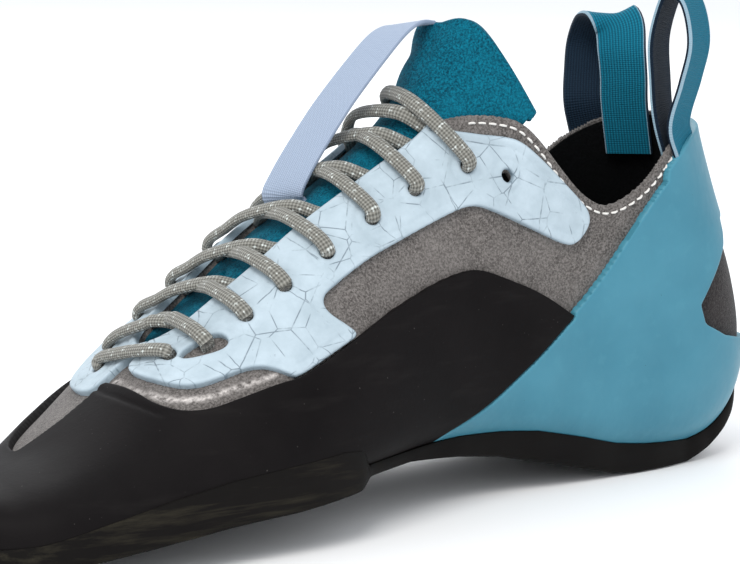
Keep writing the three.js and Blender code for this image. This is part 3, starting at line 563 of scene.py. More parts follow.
class Look:
    """Node helper round one Principled shader."""

    def __init__(self, name, rough, sheen=0.0, specular=0.5):
        self.mat = bpy.data.materials.new(name)
        self.mat.use_nodes = True
        self.tree = self.mat.node_tree
        self.shader = self.tree.nodes["Principled BSDF"]
        for key, value in (("Roughness", rough), ("Sheen Weight", sheen), ("Sheen Roughness", 0.45),
                           ("Specular IOR Level", specular)):
            self.shader.inputs[key].default_value = value
        self.coords = self.node("ShaderNodeTexCoord").outputs
        self.bumps = None

    def node(self, kind, links=(), **values):
        made = self.tree.nodes.new(kind)
        for key, value in values.items():
            setattr(made, key, value)
        for key, source in dict(links).items():
            if isinstance(source, bpy.types.NodeSocket):
                self.tree.links.new(source, made.inputs[key])
            else:
                made.inputs[key].default_value = source
        return made

    def noise(self, scale, detail=2.0, rough=0.5, stretch=None, where=None):
        vector = where or self.coords["Object"]
        if stretch:
            vector = self.node("ShaderNodeMapping", {"Vector": vector, "Scale": stretch}).outputs[0]
        return self.node("ShaderNodeTexNoise", {
            "Vector": vector, "Scale": scale, "Detail": detail, "Roughness": rough}).outputs["Fac"]

    def ramp(self, fac, low, high):
        made = self.node("ShaderNodeMapRange", {
            "Value": fac, "From Min": low, "From Max": high}, clamp=True)
        return made.outputs["Result"]

    def mix(self, fac, one, two):
        made = self.node("ShaderNodeMix", {"Factor": fac}, data_type="RGBA")
        for socket, colour in ((made.inputs[6], one), (made.inputs[7], two)):
            if isinstance(colour, bpy.types.NodeSocket):
                self.tree.links.new(colour, socket)
            else:
                socket.default_value = (*colour, 1)
        return made.outputs[2]

    def math(self, kind, one, two=0.0):
        return self.node("ShaderNodeMath", {0: one, 1: two}, operation=kind).outputs[0]

    def times(self, one, two):
        return self.math("MULTIPLY", one, two)

    def tint(self, colour, fac, strength, new):
        """Blends a new colour in where fac is high."""
        return self.mix(self.times(fac, strength), colour, new)

    def attribute(self, name):
        return self.node("ShaderNodeAttribute", attribute_name=name).outputs["Fac"]

    def bump(self, height, strength, distance):
        links = {"Height": height, "Strength": strength, "Distance": distance}
        if self.bumps:
            links["Normal"] = self.bumps
        self.bumps = self.node("ShaderNodeBump", links).outputs[0]

    def done(self, colour, rough=None):
        self.tree.links.new(colour, self.shader.inputs["Base Color"])
        if rough:
            self.tree.links.new(rough, self.shader.inputs["Roughness"])
        if self.bumps:
            self.tree.links.new(self.bumps, self.shader.inputs["Normal"])
        return self.mat


def suede(name, dark, base, light, grain=1900, sheen=0.15):
    look = Look(name, 0.95, sheen=sheen, specular=0.12)
    fine = look.noise(grain, 3, 0.7)
    nap = look.noise(380, 4, 0.65)
    patch = look.noise(70, 4, 0.6)
    colour = look.mix(look.ramp(fine, 0.38, 0.64), dark, light)
    colour = look.mix(0.2, colour, base)
    colour = look.tint(colour, look.ramp(nap, 0.42, 0.72), 0.22, dark)
    colour = look.tint(colour, look.ramp(patch, 0.45, 0.72), 0.3, light)
    glue = look.times(look.attribute("glue"), look.ramp(look.noise(700, 3, 0.6), 0.35, 0.6))
    colour = look.mix(glue, colour, [min(1, 2.4 * c + 0.12) for c in light])
    look.bump(fine, 0.5, 0.0005)
    look.bump(nap, 0.25, 0.001)
    return look.done(colour)


def black_rubber(name):
    look = Look(name, 0.62, specular=0.05)
    cloud = look.noise(45, 4, 0.6)
    streak = look.noise(160, 4, 0.6, stretch=(0.25, 0.6, 1.6))
    speck = look.noise(1500, 1, 0.4)
    colour = look.mix(look.ramp(cloud, 0.3, 0.75), (0.0050, 0.0042, 0.0044), (0.0085, 0.0072, 0.0074))
    colour = look.tint(colour, look.ramp(streak, 0.56, 0.8), 0.35, (0.02, 0.018, 0.017))
    colour = look.tint(colour, look.ramp(speck, 0.79, 0.83), 0.5, (0.16, 0.15, 0.14))
    rough = look.math("ADD", look.times(cloud, 0.25), 0.4)
    look.bump(streak, 0.1, 0.0006)
    look.bump(look.noise(900, 3, 0.6), 0.12, 0.0003)
    return look.done(colour, rough)


def sole_rubber(name):
    look = Look(name, 0.65, specular=0.05)
    place_it = look.node("ShaderNodeSeparateXYZ", {0: look.coords["Object"]}).outputs
    cloud = look.noise(40, 4, 0.6)
    grind = look.noise(260, 5, 0.65, stretch=(0.12, 1.0, 1.8))
    fore = look.ramp(place_it["X"], -0.092, -0.125)
    colour = look.mix(look.ramp(cloud, 0.3, 0.75), (0.0055, 0.0048, 0.0047), (0.009, 0.008, 0.0072))
    dust = look.times(look.times(look.ramp(grind, 0.5, 0.72), fore), 0.55)
    colour = look.mix(dust, colour, (0.045, 0.040, 0.027))
    look.bump(grind, 0.18, 0.0005)
    rough = look.math("ADD", look.times(grind, 0.3), 0.42)
    return look.done(colour, rough)


def teal_rubber(name):
    look = Look(name, 0.42, specular=0.3)
    cloud = look.noise(38, 4, 0.55)
    fine = look.noise(220, 4, 0.6)
    speck = look.noise(1300, 1, 0.4)
    colour = look.mix(look.ramp(cloud, 0.3, 0.72), (0.038, 0.185, 0.26), (0.058, 0.235, 0.32))
    colour = look.tint(colour, look.ramp(fine, 0.55, 0.8), 0.3, (0.085, 0.29, 0.37))
    colour = look.tint(colour, look.ramp(speck, 0.8, 0.84), 0.6, (0.02, 0.08, 0.11))
    # Painted highlight: the teal rubber turns lighter near its edges.
    rim = look.ramp(look.attribute("edge"), 0.7, 0.1)
    colour = look.tint(colour, rim, 0.25, (0.10, 0.33, 0.41))
    look.bump(fine, 0.08, 0.0006)
    look.bump(cloud, 0.2, 0.004)
    rough = look.math("ADD", look.times(fine, 0.2), 0.32)
    return look.done(colour, rough)


def microfibre(name):
    look = Look(name, 0.72, sheen=0.1, specular=0.3)
    cells = look.node("ShaderNodeTexVoronoi", {"Vector": look.coords["UV"], "Scale": 0.085, "Randomness": 1.0},
                      feature="DISTANCE_TO_EDGE", voronoi_dimensions="2D").outputs["Distance"]
    turned = look.node("ShaderNodeMapping", {"Vector": look.coords["UV"], "Rotation": (0, 0, 0.7)}).outputs[0]
    slivers = look.node("ShaderNodeTexVoronoi", {"Vector": turned, "Scale": 0.14, "Randomness": 1.0},
                        feature="DISTANCE_TO_EDGE", voronoi_dimensions="2D").outputs["Distance"]
    broken = look.ramp(look.noise(210, 3, 0.6), 0.42, 0.6)
    lines = look.math("MAXIMUM", look.ramp(cells, 0.018, 0.004), look.ramp(slivers, 0.024, 0.006))
    lines = look.times(look.times(lines, broken), 0.8)
    cloud = look.noise(120, 4, 0.6)
    colour = look.mix(look.ramp(cloud, 0.3, 0.7), (0.36, 0.44, 0.49), (0.47, 0.56, 0.62))
    colour = look.mix(lines, colour, (0.10, 0.13, 0.16))
    scuff = look.ramp(look.noise(520, 5, 0.7), 0.68, 0.74)
    colour = look.tint(colour, scuff, 0.45, (0.12, 0.14, 0.17))
    # Painted shade: the microfibre turns darker within about half a millimetre of its edge.
    painted_edge_shade = look.times(look.ramp(look.attribute("edge"), 0.55, 0.0), 0.5)
    colour = look.mix(painted_edge_shade, colour, (0.2, 0.28, 0.34))
    look.bump(look.noise(900, 3, 0.6), 0.25, 0.0004)
    look.bump(cloud, 0.2, 0.0012)
    look.bump(look.math("SUBTRACT", 1.0, lines), 0.12, 0.0004)
    return look.done(colour)


def woven(name, one, two, fleck, pitch, share=0.62):
    """Cloth of crossed threads, drawn in the piece's own millimetres along and across."""
    look = Look(name, 0.85, sheen=0.2, specular=0.25)
    uv = look.node("ShaderNodeSeparateXYZ", {0: look.coords["UV"]}).outputs
    waves = []
    for sign in (1, -1):
        phase = look.math("ADD", look.times(uv["X"], 2 * math.pi / pitch),
                          look.times(uv["Y"], sign * 2 * math.pi / pitch))
        waves.append(look.math("SINE", phase))
    weave = look.times(waves[0], waves[1])
    threads = look.ramp(weave, -0.8, 0.8)
    colour = look.mix(threads, one, two)
    spots = look.ramp(look.noise(1.25 / pitch, 1, 0.5, where=look.coords["UV"]), share, share + 0.05)
    colour = look.tint(colour, spots, threads, fleck)
    look.bump(threads, 0.5, 0.0006)
    return look.done(colour)


def ribbed(name, one, two, rib, cross, edge_colour=None):
    """Tape with fine ribs, drawn in the piece's own millimetres along and across."""
    look = Look(name, 0.75, sheen=0.03, specular=0.15)
    uv = look.node("ShaderNodeSeparateXYZ", {0: look.coords["UV"]}).outputs
    ribs = look.ramp(look.math("SINE", look.times(uv["X"], 2 * math.pi / rib)), -1, 1)
    threads = look.ramp(look.math("SINE", look.times(uv["Y"], 2 * math.pi / cross)), -1, 1)
    colour = look.mix(threads, one, two)
    colour = look.tint(colour, ribs, 0.3, one)
    if edge_colour:
        far = look.math("ABSOLUTE", uv["Y"])
        colour = look.mix(look.ramp(far, 5.75, 5.95), colour, edge_colour)
    look.bump(ribs, 0.35, 0.0004)
    look.bump(threads, 0.25, 0.0003)
    return look.done(colour)


def thread(name, colour):
    look = Look(name, 0.8, sheen=0.2)
    twist = look.noise(3000, 2, 0.5)
    return look.done(look.mix(twist, colour, [min(1, c * 1.4 + 0.02) for c in colour]))


GREY_SUEDE = suede("grey_suede", (0.045, 0.040, 0.037), (0.115, 0.105, 0.099), (0.24, 0.22, 0.208))
TEAL_SUEDE = suede("teal_suede", (0.0005, 0.03, 0.052), (0.001, 0.085, 0.14), (0.003, 0.18, 0.27), sheen=0.03)
WINDOW_SUEDE = suede("window_suede", (0.012, 0.010, 0.010), (0.028, 0.024, 0.024), (0.055, 0.048, 0.047), 1800)
LINING = suede("black_lining", (0.001, 0.0012, 0.0015), (0.002, 0.0023, 0.0027), (0.005, 0.0055, 0.006), 1800,
               sheen=0.0)
BLACK = black_rubber("black_rubber")
SOLE_BLACK = sole_rubber("sole_rubber")
TEAL = teal_rubber("teal_rubber")
PALE = microfibre("pale_microfibre")
CORD = woven("lace_cord", (0.10, 0.098, 0.085), (0.30, 0.295, 0.265), (0.66, 0.70, 0.67), 1.45, 0.6)
LABEL = ribbed("label_tape", (0.27, 0.33, 0.44), (0.38, 0.45, 0.56), 0.5, 0.6)
TAPE_OUT = ribbed("loop_tape_teal", (0.001, 0.075, 0.125), (0.003, 0.19, 0.29), 0.5, 0.75, (0.26, 0.38, 0.46))
TAPE_IN = ribbed("loop_tape_navy", (0.003, 0.010, 0.022), (0.008, 0.024, 0.045), 0.55, 0.7)
WHITE_THREAD = thread("white_thread", (0.62, 0.60, 0.57))
TEAL_THREAD = thread("teal_thread", (0.12, 0.42, 0.52))


def dress(piece, slot, *nodes):
    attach(piece, "root")
    if nodes:
        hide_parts(*nodes)
    return piece


# The panels of the shoe

def shell_field(p):
    bottom = p[..., 2] - underside(p[..., 0], p[..., 1]) - 3.2
    return np.minimum.reduce([-in_throat(p), -in_collar(p), bottom])


def upper_field(p):
    return np.minimum.reduce([shell_field(p), -in_eyelets(p, -1, PUNCHED), -in_eyelets(p, 1, PUNCHED)])


def glue_line(p):
    """Strength of the pale line of dried glue along the black border, on the inner forefoot."""
    near = np.exp(-((in_rand(p) + 0.75) / 0.4) ** 2)
    x = p[..., 0]
    return near * np.clip((x + 158) / 6, 0, 1) * np.clip((-119 - x) / 4, 0, 1) * (p[..., 1] < 0)


def make_upper():
    outer = panel("upper_suede", upper_field, -1.5, 0.0, GREY_SUEDE, edge=0.7, cell=CELL * 2,
                  marks={"glue": glue_line})
    dress(outer, "suede", "upper")
    lining = panel("upper_lining", lambda p: shell_field(p) - 0.5, -WALL, -1.45, LINING, edge=0.2,
                   cell=CELL * 2.6)
    dress(lining, "suede")


def toe_crease(p, distance):
    """Small arc pressed into the toe's rubber, and slight waves of the hand-laid sheet."""
    arc = np.array([(-166.5, 29.5), (-162.5, 33.2), (-158.5, 34.6), (-153.5, 34.0), (-150.5, 32.6)])
    x, z = chart_side(p)
    nearest = np.full(x.shape, 1e9)
    for (x0, z0), (x1, z1) in zip(arc, arc[1:]):
        dx, dz = x1 - x0, z1 - z0
        t = np.clip(((x - x0) * dx + (z - z0) * dz) / (dx * dx + dz * dz), 0, 1)
        nearest = np.minimum(nearest, np.hypot(x - x0 - t * dx, z - z0 - t * dz))
    groove = np.where(p[..., 1] < 0, -0.35 * np.exp(-(nearest / 0.5) ** 2), 0)
    return groove + 0.08 * np.sin(x * 0.21 + z * 0.13) * np.clip(distance, 0, 1)


def rand_field(p):
    return np.minimum(in_rand(p), over_sole(p))


def make_rands():
    side = panel("side_rand_rubber", rand_field, 0.02, GAP + RUBBER, BLACK, edge=0.6, cell=CELL * 1.2,
                 shape=toe_crease)
    dress(side, "rubber", "side_rand")

    def heel_field(p):
        spine = in_spine(p, 0.1)
        return np.minimum.reduce([in_heel(p), over_sole(p), -in_rand(p, 0.12), -in_collar(p, -2.5),
                                  -in_window(p), -spine])
    heel = panel("heel_rand_rubber", heel_field, 0.02, GAP + RUBBER, TEAL, edge=0.6, cell=CELL * 1.2)
    dress(heel, "teal_rubber", "heel_rand")

    def window_field(p):
        return np.minimum(from_window(p) + 1.2, np.abs(p[..., 1]) - SPINE_HALF - 0.1)
    patch = panel("heel_window_suede", window_field, -0.1, GAP, WINDOW_SUEDE, edge=0.3, cell=CELL * 1.5)
    dress(patch, "suede")

    def spine_field(p):
        return np.minimum(in_spine(p), over_sole(p))
    spine = panel("heel_spine_rubber", spine_field, 0.02, GAP + 2.4, BLACK, edge=0.6, cell=CELL * 0.8)
    dress(spine, "rubber", "heel_spine")


def pressed_lip(p, distance):
    """The welded edge: a low rounded lip with a shallow groove inside it."""
    return 0.22 * np.exp(-((distance - 0.9) / 0.7) ** 2) - 0.18 * np.exp(-((distance - 2.4) / 0.45) ** 2)


def make_eyestays():
    for side, name in ((-1, "inner"), (1, "outer")):
        def field(p, side=side):
            return np.minimum.reduce([in_eyestay(p, side), -in_rand(p, 0.1), -in_collar(p, -2)])
        piece = panel(f"eyestay_{name}_microfibre", field, 0.02, GAP + EYESTAY, PALE, edge=0.5,
                      cell=CELL * 0.85, shape=pressed_lip, chart=lambda p, side=side: chart_slope(p, side))
        dress(piece, "microfibre", f"eyestay_{name}")


def tongue_bend(p):
    """The tongue's free end is flatter than the last: its outer corner stands up."""
    run, y = chart_top(p)
    rise = np.clip((run - 96) / 30, 0, 1) ** 1.5 * np.clip(y / 15, 0, 1) ** 1.2
    return 7.0 * rise[:, None] * OFF_INSTEP


def make_tongue():
    piece = panel("tongue_suede", in_tongue, -WALL - GAP - TONGUE, -1.52, TEAL_SUEDE, edge=0.9,
                  cell=CELL * 1.1, chart=chart_top, bend=tongue_bend)
    dress(piece, "tongue_suede", "tongue")


def make_insole():
    def rim(x):
        rows = SIZED[:15]
        return np.interp(x, rows[:, 0], rows[:, 1])
    xs = np.linspace(along(0.95), along(0.05), 90)
    lanes = np.linspace(-1, 1, 25)
    points, faces = [], []
    for x in xs:
        z = rim(x) + 4.3
        y = [-30.0, 30.0]
        us = np.interp(x, SIZED[:15, 0], np.arange(15))
        for k, sign in enumerate((-1, 1)):
            turn = np.linspace(0.02, 1.6, 80) * sign
            ring = off_last(np.full(80, us), turn, -2.3)
            y[k] = np.interp(z, ring[:, 2], ring[:, 1])
        for top in (0, -1.9):
            points += [(x, y[0] + (y[1] - y[0]) * (lane + 1) / 2, z + top) for lane in lanes]
    m = len(lanes)
    for i in range(len(xs) - 1):
        a, b = i * 2 * m, (i + 1) * 2 * m
        for j in range(m - 1):
            faces.append((a + j, b + j, b + j + 1, a + j + 1))
            faces.append((a + m + j + 1, b + m + j + 1, b + m + j, a + m + j))
        faces += [(a, a + m, b + m, b), (a + m - 1, b + m - 1, b + 2 * m - 1, a + 2 * m - 1)]
    end = (len(xs) - 1) * 2 * m
    for j in range(m - 1):
        faces += [(j, j + 1, m + j + 1, m + j), (end + j + 1, end + j, end + m + j, end + m + j + 1)]
    dress(add_mesh("insole_board", points, faces, LINING), "board", "insole")


def sole_outline(offset):
    """Where the last, grown by offset, meets the top of the sole's side wall: inner side, then outer."""
    edges = []
    for side in (-1, 1):
        u = np.arange(0.4, 15, 0.1)
        low, high = np.full(u.shape, 0.02), np.full(u.shape, np.pi / 2)

        def under(turn):
            p = off_last(u, side * turn, offset)
            return p[:, 2] < wall_top(p[:, 0], p[:, 1])
        good = under(low)
        for _ in range(26):
            middle = (low + high) / 2
            inner = under(middle)
            low, high = np.where(inner, middle, low), np.where(inner, high, middle)
        p = off_last(u, side * low, offset)[good]
        edges.append(p[:, :2])
    return np.vstack([edges[0], edges[1][::-1]])


def make_sole():
    line = sole_outline(2 * GAP + RUBBER)
    closed = np.vstack([line, line[:1]])
    length = lengths(closed)
    count = int(length[-1] / CELL / 1.3)
    at = np.linspace(0, length[-1], count, endpoint=False)
    rim = np.stack([np.interp(at, length, closed[:, k]) for k in (0, 1)], 1)
    for _ in range(3):
        rim = (np.roll(rim, 1, 0) + 2 * rim + np.roll(rim, -1, 0)) / 4
    tangent = np.roll(rim, -1, 0) - np.roll(rim, 1, 0)
    normal = unit(np.stack([tangent[:, 1], -tangent[:, 0]], 1))
    if ((rim + normal)[:, 1] ** 2).sum() < (rim[:, 1] ** 2).sum():
        normal = -normal
    centre = np.stack([np.clip(rim[:, 0], along(0.93), along(0.09)), np.full(count, -2.0)], 1)
    top = wall_top(rim[:, 0], rim[:, 1])
    bottom = np.maximum(underside(rim[:, 0], rim[:, 1]), 0)
    rings = []

    def ring(shift, height):
        flat = rim + normal * shift if np.isscalar(shift) else shift
        rings.append(np.column_stack([flat, height]))
    inset = rim + (centre - rim) * 0.12
    ring(inset, top - 0.5)
    ring(-1.6, top - 0.12)
    ring(-0.5, top - 0.02)
    ring(-0.12, top - 0.12)
    for share in (0.1, 0.3, 0.5, 0.7, 0.88):
        ring(0.22 * math.sin(share * math.pi), top + (bottom - top) * share - 0.1)
    ring(-0.15, bottom + 0.3)
    ring(-0.5, bottom + 0.08)
    for share in (0.04, 0.12, 0.25, 0.4, 0.55, 0.7, 0.85, 0.97):
        flat = rim + (centre - rim) * share
        ring(flat, np.maximum(underside(flat[:, 0], flat[:, 1]), 0))
    points = np.vstack(rings)
    faces = ring_faces(len(rings), count)[:-2]
    last = (len(rings) - 1) * count
    half = count // 2
    faces += [(last + (i + 1) % count, last + i, last + (count - i) % count, last + (count - i - 1) % count)
              for i in range(1, half - 1)]
    piece = add_mesh("outsole_rubber", points, faces, SOLE_BLACK, smooth=40)
    dress(piece, "rubber", "outsole")


def smooth_path(points, count):
    """Evenly spaced points of a smooth curve through the given ones."""
    p = np.asarray(points, float)
    p = np.vstack([2 * p[0] - p[1], p, 2 * p[-1] - p[-2]])
    t = np.linspace(0, 1, 24, endpoint=False)[:, None]
    fine = np.vstack([*(curve(*p[i:i + 4], t) for i in range(len(p) - 3)), p[-2:-1]])
    length = lengths(fine)
    at = np.linspace(0, length[-1], count)
    return np.stack([np.interp(at, length, fine[:, k]) for k in range(p.shape[1])], 1), at


def square_to(path, leads):
    """Unit tangents of a path, and its leads turned square to them."""
    tangent = unit(np.gradient(path, axis=0))
    return tangent, unit(leads - (leads * tangent).sum(1, keepdims=True) * tangent)


def ring_faces(rings, n):
    """Faces between rings of n points each, then a cap at either end."""
    walls = [(i * n + j, i * n + (j + 1) % n, (i + 1) * n + (j + 1) % n, (i + 1) * n + j)
             for i in range(rings - 1) for j in range(n)]
    return [*walls, tuple(range(n))[::-1], tuple((rings - 1) * n + j for j in range(n))]


def tube(points, normals, wide, thick, sides):
    """Rings of an oval cord, flat on the given normals. Returns points, faces and the unrolled chart."""
    path, at = smooth_path(np.hstack([points, normals]), int(max(12, len(points) * 9)))
    centre = path[:, :3]
    tangent, normal = square_to(centre, path[:, 3:])
    across = np.cross(tangent, normal)
    angle = np.linspace(0, 2 * np.pi, sides, endpoint=False)
    rings = (centre[:, None] + across[:, None] * (wide / 2 * np.cos(angle))[None, :, None]
             + normal[:, None] * (thick / 2 * np.sin(angle))[None, :, None])
    chart = np.stack(np.broadcast_arrays(at[:, None], (angle * (wide + thick) / 4)[None]), -1)
    return rings.reshape(-1, 3), ring_faces(len(centre), sides), chart.reshape(-1, 2)


def joined(name, parts, material, smooth=50):
    points, faces, charts, start = [], [], [], 0
    for p, f, c in parts:
        points.append(p)
        charts.append(c)
        faces += [tuple(i + start for i in face) for face in f]
        start += len(p)
    return add_mesh(name, np.vstack(points), faces, material, smooth=smooth, uv=np.vstack(charts))


def over_instep(stops, offset_stops):
    """Points and normals over the instep: run, side and height of each."""
    runs, ys = np.array(stops).T
    u, t = place(chart_top, runs, ys, (8, math.pi), 0.0)
    u = np.clip(u, 0.3, LAST_ROW)
    return off_last(u, t, np.array(offset_stops, float)), outward(u, t)


OVER_EDGE = GAP + EYESTAY + 1.1


def eyelet_end(index, side):
    """Points that go down into an eyelet, and their normals."""
    run, down = EYELETS[index]
    shift = OUTER_SHIFT if side > 0 else 0
    guess = (5 + run / 20, math.pi - side * 0.9)
    u, t = place(lambda p: chart_slope(p, side), [run - shift], [down], guess, 1.0)
    heights = np.array([OVER_EDGE - 0.2, 0.2, -2.2])
    u, t = np.repeat(u, 3), np.repeat(t, 3)
    return off_last(u, t, heights), outward(u, t)


def strand(index, side):
    rise = (OUTER_RISE if side > 0 else INNER_RISE)[index]
    target = EYELETS[index][0] - (OUTER_SHIFT if side > 0 else 0)
    start = target + rise
    begin = throat_edge(start, -side) - side * 3.5
    under = throat_edge(start, -side) + side * 1.2
    edge = throat_edge(target, side)
    end, end_normals = eyelet_end(index, side)
    reach = end[0, 1]
    over = 1.0 if side > 0 else 0.0
    stops = [(begin, -1.0), (under, -0.4), (under * 0.45, 1.1 + over), (edge * 0.45, 2.4 + over),
             (edge, OVER_EDGE + 0.6), (edge + 0.6 * (reach - edge), OVER_EDGE + 0.8)]
    rows = []
    for y, height in stops:
        share = np.clip((y - begin) / (reach - begin), 0, 1)
        rows.append((start + share * (target - start), y, height))
    rows = np.array(rows)
    points, normals = over_instep(rows[:, :2], rows[:, 2])
    points, normals = np.vstack([points, end]), np.vstack([normals, end_normals])
    normals[-2:] = normals[-4]
    return tube(points, normals, *STRAND)


def make_lace():
    parts = []
    for index in range(1, len(EYELET_SIDES)):
        parts += [strand(index, -1), strand(index, 1)]
    near, near_normals = eyelet_end(0, -1)
    far, far_normals = eyelet_end(0, 1)
    shares = np.array([-0.6, -0.2, 0.2, 0.6])
    stops = [(EYELETS[0][0] - OUTER_SHIFT * (s + 1) / 2, s * EYELET_SIDES[0]) for s in shares]
    points, normals = over_instep(stops, [OVER_EDGE + 0.5] * 4)
    points = np.vstack([near[::-1], points, far])
    near_normals[:] = normals[0]
    far_normals[:] = normals[-1]
    parts.append(tube(points, np.vstack([near_normals, normals, far_normals]), *STRAND))
    lace = joined("lace", parts, CORD, smooth=80)
    names = ["lace_bar"] + [f"lace_crossing_{i}" for i in range(1, len(EYELET_SIDES))]
    dress(lace, "lace", *names)


def band(name, points, across, width, thick, face, back, slot, node):
    """A woven tape along points, with the direction of its width at each."""
    path, at = smooth_path(np.hstack([points, across]), 90)
    centre = path[:, :3]
    tangent, wide = square_to(centre, path[:, 3:])
    normal = np.cross(tangent, wide)
    flat = np.linspace(-0.5, 0.5, 13)
    lump = thick / 2 * np.where(np.abs(flat) > 0.4, 1.12, 1.0)
    shape = [(f * width, h) for f, h in zip(flat, lump)]
    shape = [(-width / 2 - thick * 0.3, 0.0), *shape, (width / 2 + thick * 0.3, 0.0)]
    shape += [(f * width, -h) for f, h in zip(flat[::-1], lump[::-1])]
    shape = np.array(shape)
    rings = centre[:, None] + wide[:, None] * shape[None, :, :1] + normal[:, None] * shape[None, :, 1:]
    n = len(shape)
    chart = np.stack(np.broadcast_arrays(at[:, None], shape[:, 0][None]), -1).reshape(-1, 2)
    piece = add_mesh(name, rings.reshape(-1, 3), ring_faces(len(centre), n), face, smooth=60, uv=chart)
    piece.data.materials.append(back)
    behind = [int(0 < j % n < 14) for _ in range(len(centre) - 1) for j in range(n)] + [0, 0]
    piece.data.polygons.foreach_set("material_index", behind)
    dress(piece, slot, node)


# Label: run up the instep, side offset and height over the instep's straight line
LABEL_ROWS = np.array([
    (71.6, 4.5, -5.6), (70.9, 4.5, -2.9), (71.8, 4.5, -0.9), (76.5, 4.4, 1.3), (84, 4.2, 3.8), (95, 4.0, 6.7),
    (107.5, 4.2, 8.6), (116.5, 5.0, 9.0), (122, 6.2, 7.4), (125.5, 7.6, 4.2),
])


def make_label():
    run, y, height = LABEL_ROWS.T[..., None]
    points = INSTEP_START + run * UPHILL + y * SIDEWAYS + height * OFF_INSTEP
    across = np.tile(np.array([-0.26, 0.945, -0.2]), (len(points), 1))
    band("tongue_label_tape", points, across, TAPE_WIDTH, LABEL_TAPE, LABEL, LABEL, "label", "tongue_label")


def on_heel(height, turn, offset):
    us = np.linspace(14, LAST_ROW, 400)
    p = off_last(us, np.full(400, turn), offset)
    return np.array([np.interp(height, p[:, 2], p[:, k]) for k in range(3)])


def make_loop(name, in_turn, out_turn, bow, height):
    """A tape that rises inside the collar, turns over and comes down on the heel's rubber."""
    rim = above(0.83)
    inside_at, outside_at = -WALL - GAP - TAPE / 2 - bow * 0.9, 0.95

    def branch(turn, offset):
        out = (on_heel(rim, turn, outside_at) - on_heel(rim, turn, inside_at)) * (1, 1, 0)
        out = unit(out)
        edge = np.array([-abs(out[1]), np.sign(out[1]) * out[0], 0])
        low = on_heel(rim - (12.8 if offset < 0 else 7.5), turn, min(offset, 0.3))
        return on_heel(rim, turn, offset), out, edge, low
    foot_in, out_in, edge_in, low_in = branch(in_turn, inside_at)
    foot_out, out_out, edge_out, low_out = branch(out_turn, outside_at)

    def climb(share, swing, push):
        out = out_in + swing * (out_out - out_in)
        p = foot_in + swing * (foot_out - foot_in) + out * push
        return np.array([p[0], p[1], rim + share * height])
    points = np.array([
        low_in, foot_in, climb(0.32, 0, -1.5), climb(0.62, 0.06, -2.4), climb(0.9, 0.2, -1.0),
        climb(1.0, 0.5, 0), climb(0.9, 0.8, 2 * bow + 1.0), climb(0.62, 0.96, 3.4 * bow + 1.2),
        climb(0.32, 1, 1.8 * bow + 0.8), foot_out, low_out,
    ])
    share = np.clip((np.linspace(0, 1, len(points)) - 0.25) / 0.5, 0, 1)[:, None]
    faces = (TAPE_OUT, TAPE_IN) if in_turn < 0 else (TAPE_IN, TAPE_OUT)
    band(f"{name}_tape", points, edge_in + share * (edge_out - edge_in), TAPE_WIDTH, TAPE, *faces, "tape", name)


# Stitches

def stitches(name, path, normals, pitch, length, radius, material, slot):
    """A row of short raised threads along a path."""
    line, at = smooth_path(np.hstack([path, normals]), 1200)
    angle = np.linspace(0, 2 * np.pi, 7, endpoint=False)
    parts = []
    for start in np.arange(0.5, at[-1] - length, pitch):
        share = np.linspace(0, 1, 6)
        spots = start + share * length
        centre = np.stack([np.interp(spots, at, line[:, k]) for k in range(3)], 1)
        normal = np.stack([np.interp(spots, at, line[:, k]) for k in range(3, 6)], 1)
        normal = unit(normal)
        centre = centre + normal * (radius * 1.5 * np.sin(share * np.pi) - radius * 0.6)[:, None]
        across = np.cross(unit(np.gradient(centre, axis=0)), normal)
        ring = (centre[:, None] + across[:, None] * (radius * np.cos(angle))[None, :, None]
                + normal[:, None] * (radius * np.sin(angle))[None, :, None])
        parts.append((ring.reshape(-1, 3), ring_faces(6, 7), np.zeros((42, 2))))
    dress(joined(name, parts, material), slot)


def rim_stitches():
    for side, rim, name in ((-1, INNER_RIM, "inner"), (1, OUTER_RIM, "outer")):
        line = rounded(side_outline(rim))
        line = line[(line[:, 0] > along(0.405)) & (line[:, 0] < along(0.14))]
        slope = np.gradient(line, axis=0)
        down = unit(np.stack([slope[:, 1], -slope[:, 0]], 1))
        down *= np.where(down[:, 1:] > 0, -1, 1)
        line = line + down * 2.0
        u, t = place(chart_side, line[:, 0], line[:, 1], (14, side * 1.9), 0.0)
        stitches(f"collar_stitch_{name}", off_last(u, t, 0.05), outward(u, t), 2.6, 1.8, 0.3,
                 WHITE_THREAD, "suede")


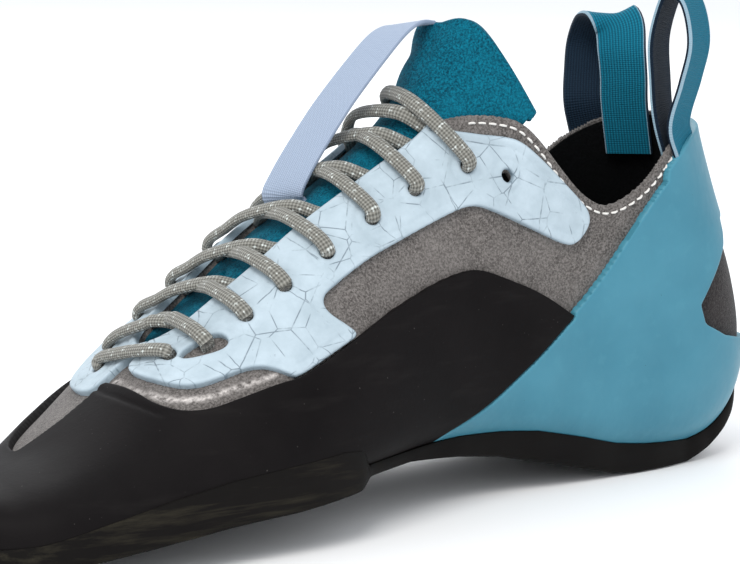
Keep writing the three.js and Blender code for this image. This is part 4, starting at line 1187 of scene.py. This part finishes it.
def tongue_stitches():
    for side, name in ((-1, "inner"), (1, "outer")):
        rows = np.array([(86, 9), (95, 12), (103, 14.5), (110, 17.2)]) * (1, side)
        points, normals = over_instep(rows, [-1.47] * 4)
        stitches(f"tongue_stitch_{name}", points, normals, 2.2, 1.3, 0.16, TEAL_THREAD, "tongue_suede")


# Floor and light

def make_stage():
    look = Look("floor_paint", 0.9, specular=0.2)
    look.done(look.mix(look.noise(6, 3, 0.5), (0.93, 0.93, 0.93), (0.96, 0.96, 0.96)))
    far = 3.0
    mesh = bpy.data.meshes.new("floor")
    corners = [(-far, -far, 0), (far, -far, 0), (far, far, 0), (-far, far, 0)]
    mesh.from_pydata(corners, [], [(0, 1, 2, 3)])
    floor = bpy.data.objects.new("floor", mesh)
    floor.location.z = -0.0002
    mesh.materials.append(look.mat)
    bpy.context.scene.collection.objects.link(floor)
    bpy.context.scene.view_settings.view_transform = "Standard"
    world = bpy.data.worlds.new("world")
    bpy.context.scene.world = world
    world.use_nodes = True
    sky = world.node_tree.nodes["Background"].inputs
    sky["Color"].default_value = (0.93, 0.96, 1.0, 1)
    sky["Strength"].default_value = 1.05


def area_light(name, at, aim, size, power, colour=(1, 1, 1)):
    data = bpy.data.lights.new(name, "AREA")
    data.shape = "RECTANGLE"
    data.size, data.size_y, data.energy, data.color = size[0], size[1], power, colour
    light = bpy.data.objects.new(name, data)
    light.location = at
    light.rotation_mode = "QUATERNION"
    light.rotation_quaternion = (Vector(aim) - Vector(at)).to_track_quat("-Z", "Y")
    bpy.context.scene.collection.objects.link(light)


def make_lights():
    area_light("key", (-0.55, -0.35, 0.75), (-0.06, 0, 0.04), (0.4, 0.4), 4.5, (1, 0.98, 0.95))
    area_light("back", (0.3, 0.7, 0.6), (-0.05, 0, 0.05), (0.7, 0.5), 2.5)


make_upper()
make_rands()
make_eyestays()
make_tongue()
make_insole()
make_sole()
make_lace()
make_label()
make_loop("pull_loop_inner", in_turn=-1.05, out_turn=-1.12, bow=0.9, height=32)
make_loop("pull_loop_outer", in_turn=0.45, out_turn=0.84, bow=1.7, height=22)
rim_stitches()
tongue_stitches()
make_stage()
make_lights()
